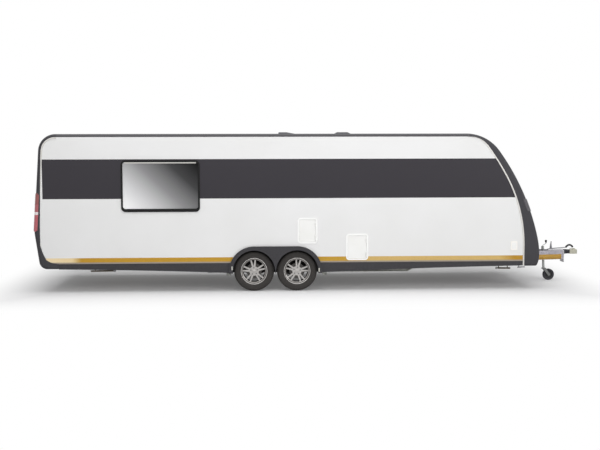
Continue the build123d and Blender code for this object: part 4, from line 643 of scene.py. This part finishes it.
# Lever grip and crank knob: black nylon pressed over the steel. Bellows cuff: moulded black rubber in six
# folds.
grip_radius, grip_from_x, grip_length = 0.0165, 4.413, 0.125
grip_from_z, grip_rise, grip_bow = 0.575, 0.005, 0.1665
knob_radius, knob_x, knob_low, knob_high = 0.0170, 4.059, 0.666, 0.7068
cuff_back_x, cuff_length, cuff_height, cuff_folds = 4.358, 0.118, 0.503, 6
cuff_radius, cuff_taper, fold_depth = 0.0425, 0.008, 0.0030


def carry(profile, path):
    """Carries a flat closed profile (offsets along two axes) along straight path points: each point holds
    one copy, turned to the mean direction of its runs, with its second axis kept near to up."""
    path, profile = np.asarray(path, float), np.asarray(profile, float)
    runs = np.diff(path, axis=0)
    runs /= np.linalg.norm(runs, axis=1)[:, None]
    along = np.concatenate([runs[:1], runs[:-1] + runs[1:], runs[-1:]])
    along /= np.linalg.norm(along, axis=1)[:, None]
    side = np.cross(along, (0.0, 0.0, 1.0))
    side[np.linalg.norm(side, axis=1) < 1e-6] = (0, 1, 0)
    side /= np.linalg.norm(side, axis=1)[:, None]
    rise = np.cross(side, along)
    return path[:, None] + side[:, None] * profile[None, :, :1] + rise[:, None] * profile[None, :, 1:]


def add_tube(name, path, radius, finish, body="caravan_body", count=12):
    """A round bar or hose of this radius along a path, with count sides and flat ends."""
    turn = np.arange(count) / count * 2 * np.pi
    points = carry(np.stack([radius * np.cos(turn), radius * np.sin(turn)], -1), path)
    return add_piece(name, points, capped(len(path), count), finish, body)


share = np.linspace(0, 1, 13)
x = grip_from_x + grip_length * share
z = grip_from_z + grip_rise * share + grip_bow * share * (1 - share)
grip_path = np.column_stack([x, 0 * x, z])
add_tube("lever_grip", grip_path, grip_radius, nylon_finish, count=18)
path = [(knob_x, 0, knob_low), (knob_x, 0, knob_high)]
add_tube("crank_knob", path, knob_radius, nylon_finish, count=18)
fold = np.linspace(0, 1, 61)[:, None]
radius = cuff_radius - cuff_taper * fold + fold_depth * np.cos(fold * cuff_folds * 2 * np.pi)
turn = np.arange(40) / 40 * 2 * np.pi
x = np.repeat(cuff_back_x + cuff_length * fold, 40, 1)
points = np.stack([x, radius * np.cos(turn), cuff_height + radius * np.sin(turn)], -1)
add_piece("bellows_cuff", points, capped(*x.shape), rubber_finish)

# Reflective tape along the lower half of both drawbar legs: a stuck-on gold film like the one on the walls.
film_thick = 0.0008
leg_bend, leg_tip = np.array((1.96, 0.592)), np.array((4.344, 0.088))
film_from, film_to = 0.690, 0.985  # shares of the sloping run
film_low, film_high = 0.380, 0.466
gold_finish = new_finish(
    "gold prism tape", "#b0841f", "#c0922a", 0.05, 0.0004, {"Roughness": 0.35, "IOR": 1.5, "Coat Weight": 0.3}
)
run = leg_tip - leg_bend
out_x, out_y = np.array([-run[1], run[0]]) / np.hypot(*run)
foot = leg_bend + np.linspace(film_from, film_to, 24)[:, None] * run
lift, up = np.array([(0, film_low), (0, film_high), (film_thick, film_high), (film_thick, film_low)]).T
x, y = foot[:, :1] + out_x * lift, foot[:, 1:] + out_y * lift
for side, name in both_sides:
    points = np.stack([x, side * y, np.broadcast_to(up, x.shape)], -1)
    add_piece(f"drawbar_tape_{name}", points, capped(*x.shape), gold_finish)

# Road tyres: radial tyres of carbon-black rubber, moulded with three grooves round the tread, slanting sipes,
# rings on the sidewall and a row of shoulder ribs.
pitches, steps_a_pitch = 56, 7
bead_radius, widest_radius, crown_radius = 0.1904, 0.262, 0.3269
bead_half, section_half = 0.064, 0.0979
tread_from, tread_blend, tread_depth = 0.314, 0.006, 0.0065
groove_places, groove_half = (-0.030, 0, 0.030), 0.0045
ring_table = [(0.236, 0.0022), (0.287, 0.0026)]  # radius and half width of the raised rings
rib_radius, rib_half, wall_from, wall_relief = 0.300, 0.008, 0.06, 0.0014
sipe_slant, sipe_shares = 0.045, (0.14, 0.10)  # shares of a pitch: on the shoulder, on the blocks
shoulder_from, block_from, block_to, crown_power = 0.036, 0.006, 0.026, 3.4
axle_middle, axle_half, axle_height, hub_out = -0.725, 0.35, 0.327, 1.025
wheel_table = [  # name, end, side, place along the caravan
    (f"{end}_{side_name}", end, side, axle_middle + way * axle_half)
    for end, way in (("rear", -1), ("front", 1))
    for side, side_name in both_sides
]


def tyre_surface():
    """Radius, place across the wheel and angle of a closed tyre. From the bead to the widest point the
    outline is a quarter of an ellipse, from there to the crown a superellipse of power 3.4. Grooves are
    pulses round the tread, sipes slanting pulses that repeat each pitch; the sidewall has rings and ribs."""
    low = np.linspace(0, np.pi / 2, 12)[:-1]
    high = np.linspace(0, np.pi / 2, 40)
    radius = np.concatenate([
        widest_radius - (widest_radius - bead_radius) * np.cos(low),
        widest_radius + (crown_radius - widest_radius) * np.sin(high) ** (2 / crown_power),
    ])
    across = np.concatenate([
        bead_half + (section_half - bead_half) * np.sin(low), section_half * np.cos(high) ** (2 / crown_power)
    ])
    across[-1] = 0
    radius = np.concatenate([radius, radius[-2::-1]])
    across = np.concatenate([across, -across[-2::-1]])
    columns = pitches * steps_a_pitch
    angle = np.arange(columns) / columns * 2 * np.pi
    r, a = np.meshgrid(radius, angle, indexing="ij")
    w = np.broadcast_to(across[:, None], r.shape)
    off = np.abs(w)
    tread = np.clip((r - tread_from) / tread_blend, 0, 1)
    groove = sum(np.exp(-(((w - middle) / groove_half) ** 4)) for middle in groove_places)
    phase = (a / (2 * np.pi) * pitches + off / sipe_slant) % 1
    outer, inner = (np.exp(-(((phase - 0.5) / half) ** 4)) for half in sipe_shares)
    sipe = outer * (off > shoulder_from) + 0.5 * inner * (off <= block_to) * (off > block_from)
    r = r - tread_depth * tread * np.clip(groove + 0.8 * sipe, 0, 1)
    wall = sum(np.exp(-(((r - middle) / half) ** 2)) for middle, half in ring_table)
    rib = np.exp(-(((r - rib_radius) / rib_half) ** 4)) * (np.sin(a * pitches * 2) > 0)
    sidewall = (off > wall_from) * (r < tread_from)
    return r, w - np.sign(w) * (wall_relief - wall_relief * np.clip(wall + 0.6 * rib, 0, 1)) * sidewall, a


tyre_finish = new_finish(
    "carbon black tyre rubber", "#24211f", "#2d2926", 0.02, 0.0006, {"Roughness": 0.78, "IOR": 1.52}
)
radius, across, angle = tyre_surface()
faces = grid_faces(*radius.shape, wrap_rows=True, wrap_columns=True)[:, ::-1]
for name, end, side, x in wheel_table:
    points = np.stack(
        [x + radius * np.cos(angle), side * hub_out + across, axle_height + radius * np.sin(angle)], -1
    )
    tyre = add_piece(
        f"road_tyre_{name}", points, faces, tyre_finish, f"wheel_{name}", turn_out=False
    )
    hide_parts(f"tyre_{name}")

# Rims: cast alloy, spray painted silver and lacquered. The barrel outside the spokes is painted mid grey as
# painted shade inside the wheel; behind the spokes all is near black: the drum's dark iron, and painted shade
# over it and the barrel.
barrel_reach, spoke_back = 0.1838, 1.0600
painted = {"Roughness": 0.30, "Metallic": 0.55, "Coat Weight": 0.5, "Coat Roughness": 0.1}
rim_finish = new_finish("silver painted alloy with painted shade", "#a9a6a3", "#b4b1ae", 0.08, 0.0003, painted)
tree = rim_finish.node_tree
place = add_node(tree, "ShaderNodeTexCoord").outputs["Object"]
axes = add_node(tree, "ShaderNodeSeparateXYZ", {0: place}).outputs
from_middle = add_node(tree, "ShaderNodeMath", {0: axes["X"], 1: axle_middle}, operation="SUBTRACT")
from_middle = add_node(tree, "ShaderNodeMath", {0: from_middle}, operation="ABSOLUTE")
dx = add_node(tree, "ShaderNodeMath", {0: from_middle, 1: axle_half}, operation="SUBTRACT")
dz = add_node(tree, "ShaderNodeMath", {0: axes["Z"], 1: axle_height}, operation="SUBTRACT")
flat = add_node(tree, "ShaderNodeCombineXYZ", {0: dx, 1: dz})
from_axle = add_node(tree, "ShaderNodeVectorMath", {0: flat}, operation="LENGTH").outputs["Value"]
off_middle = add_node(tree, "ShaderNodeMath", {0: axes["Y"]}, operation="ABSOLUTE")
shaded_behind_spokes = add_node(tree, "ShaderNodeMath", {0: off_middle, 1: spoke_back}, operation="LESS_THAN")
shaded_barrel = add_node(tree, "ShaderNodeMath", {0: from_axle, 1: barrel_reach}, operation="GREATER_THAN")
# painted shade: near black behind the spokes, mid grey on the barrel outside them
lay_over(rim_finish, shaded_behind_spokes, linear("#35322f"))
lay_over(rim_finish, shaded_barrel, linear("#7d7976"))
coat(rim_finish, *(f"rim_{row[0]}" for row in wheel_table))

# Wheel bolts and centre caps: plated hexagon heads sunk in their pockets, and a plain domed cap pressed in.
bolt_count, bolt_circle, bolt_turn = 5, 0.056, {"rear": 95, "front": 83}
spoke_face, bolt_sunk, cap_proud = 1.085, 0.0135, 0.007
bolt_profile = [(0.0, 0.011), (0.006, 0.0108), (0.0088, 0.009), (0.0095, 0.007), (0.0095, 0.0)]
cap_profile = [
    (0.0, 0.0045), (0.010, 0.0042), (0.019, 0.0030), (0.025, 0.0010), (0.0275, 0.0), (0.0275, -0.002)
]


def turned(profile, centre, side, count):
    """A profile of (radius, height) turned about the wheel's axis at centre; count is the number of sides."""
    turn = np.arange(count) / count * 2 * np.pi
    radius, high = np.array(profile).T
    x = centre[0] + radius[:, None] * np.cos(turn)
    z = centre[2] + radius[:, None] * np.sin(turn)
    y = np.broadcast_to(side * (centre[1] + high)[:, None], x.shape)
    faces = grid_faces(len(profile), count, wrap_columns=True)
    return np.stack([x, y, z], -1).reshape(-1, 3), faces if side > 0 else faces[:, ::-1]


bolt_finish = new_finish(
    "zinc plated bolt", "#8d8d8f", "#7a7a7d", 0.01, 0.0002, {"Roughness": 0.35, "Metallic": 0.9}
)
for name, end, side, x in wheel_table:
    heads = []
    for step in range(bolt_count):
        angle = math.radians(bolt_turn[end] + 360 / bolt_count * step)
        across, up = bolt_circle * math.cos(angle), bolt_circle * math.sin(angle)
        seat = (x - side * across, spoke_face - bolt_sunk, axle_height + up)
        head, faces = turned(bolt_profile, seat, side, 6)
        heads.append(head)
    faces = repeated(faces, len(head), bolt_count)
    add_piece(f"wheel_bolts_{name}", heads, faces, bolt_finish, f"wheel_{name}", smooth=False, turn_out=False)
    cap, faces = turned(cap_profile, (x, spoke_face + cap_proud, axle_height), side, 40)
    add_piece(f"centre_cap_{name}", cap, faces, rim_finish, f"wheel_{name}", turn_out=False)

# Lip of each rim: the turned and lacquered edge that laps over the tyre's bead, with a rounded crest.
lip_profile = [
    (0.2160, 0.0870), (0.2166, 0.0915), (0.2145, 0.0945), (0.2115, 0.0955), (0.2080, 0.0950),
    (0.2060, 0.0930), (0.2048, 0.0890), (0.2046, 0.0800), (0.2060, 0.0760), (0.2110, 0.0760),
    (0.2160, 0.0870),
]
lip_finish = new_finish(
    "turned alloy lip", "#c9c6c3", "#bbb8b5", 0.05, 0.0002,
    {"Roughness": 0.25, "Metallic": 0.5, "Coat Weight": 0.4},
)
for name, end, side, x in wheel_table:
    lip, faces = turned(lip_profile, (x, hub_out, axle_height), side, 120)
    add_piece(f"rim_lip_{name}", lip, faces, lip_finish, f"wheel_{name}")

# Feet of the spokes: each of the ten arms flares up from its end to the lip, cast in one with the rim.
arm_turns = [72 * spoke + split for spoke in range(5) for split in (-11, 11)]  # two arms to each spoke
foot_ends = [  # distance from the axle, half width, low and high distance from the middle plane
    (0.180, 0.0110, 1.060, 1.0849), (0.2055, 0.0130, 1.074, 1.0965)
]
foot_corners = np.array([
    (reach, way * half, out)
    for reach, half, low, high in foot_ends
    for way, out in ((-1, low), (1, low), (1, high), (-1, high))
])
spoke_finish = new_finish("silver painted alloy with painted shade spoke foot", "#a9a6a3", "#9b9895", 0.08, 0.0003, painted)
along, over, out = foot_corners.T
for name, end, side, x in wheel_table:
    turns = np.radians([bolt_turn[end] + turn for turn in arm_turns])
    cos, sin = np.cos(turns)[:, None], np.sin(turns)[:, None]
    y = side * np.broadcast_to(out, (len(turns), len(out)))
    points = np.stack([x - side * (along * cos - over * sin), y, axle_height + along * sin + over * cos], -1)
    faces = repeated(bar_faces, 8, len(turns))
    add_piece(f"spoke_feet_{name}", points, faces, spoke_finish, f"wheel_{name}", smooth=False)

# Valve stem of each wheel: black rubber, in the gap between two spokes.
valve_turn, valve_circle, valve_radius, valve_from, valve_to = 36 + 72, 0.172, 0.004, 1.045, 1.086
for name, end, side, x in wheel_table:
    angle = math.radians(bolt_turn[end] + valve_turn)
    x, z = x - side * valve_circle * math.cos(angle), axle_height + valve_circle * math.sin(angle)
    path = [(x, side * valve_from, z), (x, side * valve_to, z)]
    add_tube(f"valve_stem_{name}", path, valve_radius, rubber_finish, f"wheel_{name}")

# Hatch seals, locks and the inlet's flap: white rubber rings fill the joint round each flap and move with
# it, chromed lock barrels are pressed in, and a sprung cover closes the mains socket.
wall_face = 1.150
flap_inset, flap_corner = 0.064, 0.018
seal_loops = [  # how far outside the flap, how deep below the wall's face
    (-0.002, 0.0045), (-0.002, 0.0006), (0.0060, 0.0006), (0.0066, 0.0012), (0.0066, 0.0045)
]
barrel_profile = [(0.0, 0.0035), (0.004, 0.0035), (0.0042, 0.0025), (0.0075, 0.0025), (0.0085, 0.0034),
                  (0.0110, 0.0030), (0.0120, 0.0015), (0.0120, -0.0020)]
barrel_sides, door_lock_x, door_lock_z = 32, 0.955, 1.030
cover_size, cover_place = (0.078, 0.104, 0.012, 0.0004, 0.0010), (3.1825, -1.1641, 0.724)
seal_finish = new_finish(
    "white sealing rubber", "#f2f2f0", "#ededea", 0.02, 0.0003, {"Roughness": 0.6, "IOR": 1.52}
)
barrel_finish = new_finish(
    "satin chromed lock barrel", "#9a9a9c", "#8a8a8c", 0.01, 0.0002, {"Roughness": 0.3, "Metallic": 0.8}
)


def add_lock(name, x, z, side, body):
    """A lock barrel in the wall's face, closed at its back."""
    barrel, faces = turned(barrel_profile, (x, wall_face, z), side, barrel_sides)
    back = list(range(len(barrel) - barrel_sides, len(barrel)))
    add_piece(name, barrel, faces.tolist() + [back], barrel_finish, body)


def place_on(cells, origin, across, up):
    """Moves points given as (across, up, out) to the model: origin + a * across + b * up + c * out, out
    being the cross product of across and up."""
    across, up = (np.array(axis, float) / np.linalg.norm(axis) for axis in (across, up))
    return np.asarray(origin) + cells @ np.array([across, up, np.cross(across, up)])


def add_sheet(name, size, origin, across, up, finish, body="caravan_body"):
    """One crowned sheet standing on a surface: size is its width, height, corner radius, crown and
    thickness, and origin the middle of its back."""
    width, tall, corner, crown, thick = size
    insets = np.linspace(0, 1, 6) ** 1.5 * min(width, tall) * 0.3
    cells = crowned_sheet(width, tall, corner, insets, crown, thick) + (0, 0, thick)
    return add_piece(name, place_on(cells, origin, across, up), sheet_faces(*cells.shape[:2]), finish, body)


for name, rear, front, low, high, lock_x, lock_z in (
    ("hatch_upper", -0.3654, -0.0449, 0.778, 1.195, -0.3074, 0.9865),
    ("hatch_lower", 0.4228, 0.7827, 0.503, 0.933, 0.4808, 0.7180),
):
    loops = []
    for grow, deep in seal_loops:
        width, tall = front - rear - flap_inset + 2 * grow, high - low - flap_inset + 2 * grow
        flat = rounded_outline(width, tall, flap_corner + max(grow, 0))
        x, z = flat[:, 0] + (rear + front) / 2, flat[:, 1] + (low + high) / 2
        loops.append(np.column_stack([x, np.full(len(flat), -wall_face + deep), z]))
    add_piece(f"{name}_seal", loops, grid_faces(len(loops), len(flat), True, True), seal_finish, name)
    add_lock(f"{name}_lock", lock_x, lock_z, -1, name)
add_sheet("inlet_flap", cover_size, cover_place, (1, 0, 0), (0, 0, 1), seal_finish)
add_lock("door_lock", door_lock_x, door_lock_z, 1, "entry_door")

# Lifting brackets: folded steel under the rails, fore and aft of the wheels, hot-dip galvanised, bolted on.
bracket_size, bracket_out, bracket_height = (0.075, 0.052, 0.008, 0.001, 0.030), 0.640, 0.229
for end, x in (("rear", -1.50), ("front", 0.105)):
    for side, name in both_sides:
        origin = (x, side * bracket_out, bracket_height)
        add_sheet(f"lifting_bracket_{end}_{name}", bracket_size, origin, (-side, 0, 0), (0, 0, 1), rail_zinc)

# Skirt screws: black nylon heads that hold the skirts to the walls, nine along each side.
screw_profile = [(0.0, 0.0022), (0.004, 0.0020), (0.0065, 0.0010), (0.0075, -0.0010)]
screw_places = (-4.00, -3.25, -2.50, -1.75, 0.30, 1.05, 1.80, 2.55, 3.20)
screw_height, screw_sides = 0.450, 20
points, faces = [], []
for side in (-1, 1):
    for x in screw_places:
        head, cells = turned(screw_profile, (x, wall_face, screw_height), side, screw_sides)
        start = len(points) * len(head)
        back = start + len(head) - screw_sides
        faces += (cells + start).tolist() + [list(range(back, back + screw_sides))]
        points.append(head)
add_piece("skirt_screws", points, faces, nylon_finish)

# Lid latches of the nose locker: black nylon paddles screwed to the lid.
latch_size, latch_x, latch_out, latch_height = (0.090, 0.045, 0.010, 0.002, 0.005), 3.6082, 0.45, 0.705
lid_tilt = math.radians(6.3)
lid_up = (-math.sin(lid_tilt), 0, math.cos(lid_tilt))
for side, name in both_sides:
    origin = (latch_x, side * latch_out, latch_height)
    add_sheet(f"lid_latch_{name}", latch_size, origin, (0, 1, 0), lid_up, nylon_finish, "nose_lid")

# Rear plate and reflectors: a blank white film on its black holder, and red triangular reflectors of moulded
# acrylic, all stuck to the tail's face below the knee.
tail_up, tail_across, plate_height = (-0.088, 0, 0.616), (0, -1, 0), 0.700
reflector_radius, reflector_place = 0.086, (-4.5420, 0.82, 0.580)
plate_finish = new_finish(
    "blank white plate film", "#e6e6e4", "#dededc", 0.2, 0.0002, {"Roughness": 0.35, "IOR": 1.5}
)
for name, size, x, finish in (
    ("plate_holder", (0.545, 0.130, 0.012, 0.001, 0.0025), -4.5590, nylon_finish),
    ("blank_plate", (0.520, 0.108, 0.010, 0.0004, 0.0025), -4.5610, plate_finish),
):
    add_sheet(name, size, (x, 0, plate_height), tail_across, tail_up, finish)
reflector_finish = new_finish(
    "moulded red reflector", "#a5121c", "#8c0f18", 0.006, 0.0006,
    {"Roughness": 0.2, "IOR": 1.49, "Coat Weight": 0.6},
)
turn = np.radians((90, 210, 330))
triangle = reflector_radius * np.stack([np.cos(turn), np.sin(turn)], -1)
cells = np.array([
    np.column_stack([scale * triangle, np.full(3, out)]) for scale, out in ((1, 0), (1, 0.004), (0.9, 0.006))
])
for side, name in both_sides:
    points = place_on(cells, np.multiply(reflector_place, (1, side, 1)), tail_across, tail_up)
    faces = grid_faces(3, 3, wrap_columns=True).tolist() + [[0, 1, 2], [6, 7, 8]]
    add_piece(f"reflector_{name}", points, faces, reflector_finish, smooth=False)

# Spindles of the corner steadies: threaded steel rods under the floor, each on two hangers, with a nut for
# the crank, all waxed dull brown. Two short galvanised ties carry the nose moulding's lower edge.
under_floor, off_middle, near_height, far_height = 0.5315, 0.60, 0.290, 0.286
spindle_radius, hanger_radius, nut_radius = 0.014, 0.009, 0.020
waxed_finish = new_finish(
    "waxed steel spindle", "#8a7f70", "#6f665a", 0.02, 0.0006, {"Roughness": 0.6, "Metallic": 0.3}
)
for end, x_from, x_to, nut_length in (("front", 3.02, 3.27, 0.03), ("rear", -3.42, -3.80, 0.035)):
    for side, name in both_sides:
        y = side * off_middle
        path = [(x_from, y, near_height), (x_to, y, far_height)]
        add_tube(f"steady_spindle_{end}_{name}", path, spindle_radius, waxed_finish)
        for place, share in (("near", 0.2), ("far", 0.8)):
            x = (1 - share) * x_from + share * x_to
            path = [(x, y, far_height), (x, y, under_floor)]
            add_tube(f"spindle_hanger_{end}_{name}_{place}", path, hanger_radius, waxed_finish)
        path = [(x_from, y, near_height), (x_from + nut_length, y, near_height)]
        add_tube(f"spindle_nut_{end}_{name}", path, nut_radius, plate_zinc, count=6)
tie_from_x, tie_to_x, tie_hanger_x, tie_low, tie_high = 3.395, 3.520, 3.415, 0.300, 0.306
tie_radius, tie_hanger_radius = 0.011, 0.008
for side, name in both_sides:
    y = side * off_middle
    path = [(tie_from_x, y, tie_low), (tie_to_x, y, tie_high)]
    add_tube(f"front_tie_{name}", path, tie_radius, plate_zinc)
    path = [(tie_hanger_x, y, tie_low), (tie_hanger_x, y, under_floor)]
    add_tube(f"front_tie_hanger_{name}", path, tie_hanger_radius, plate_zinc)
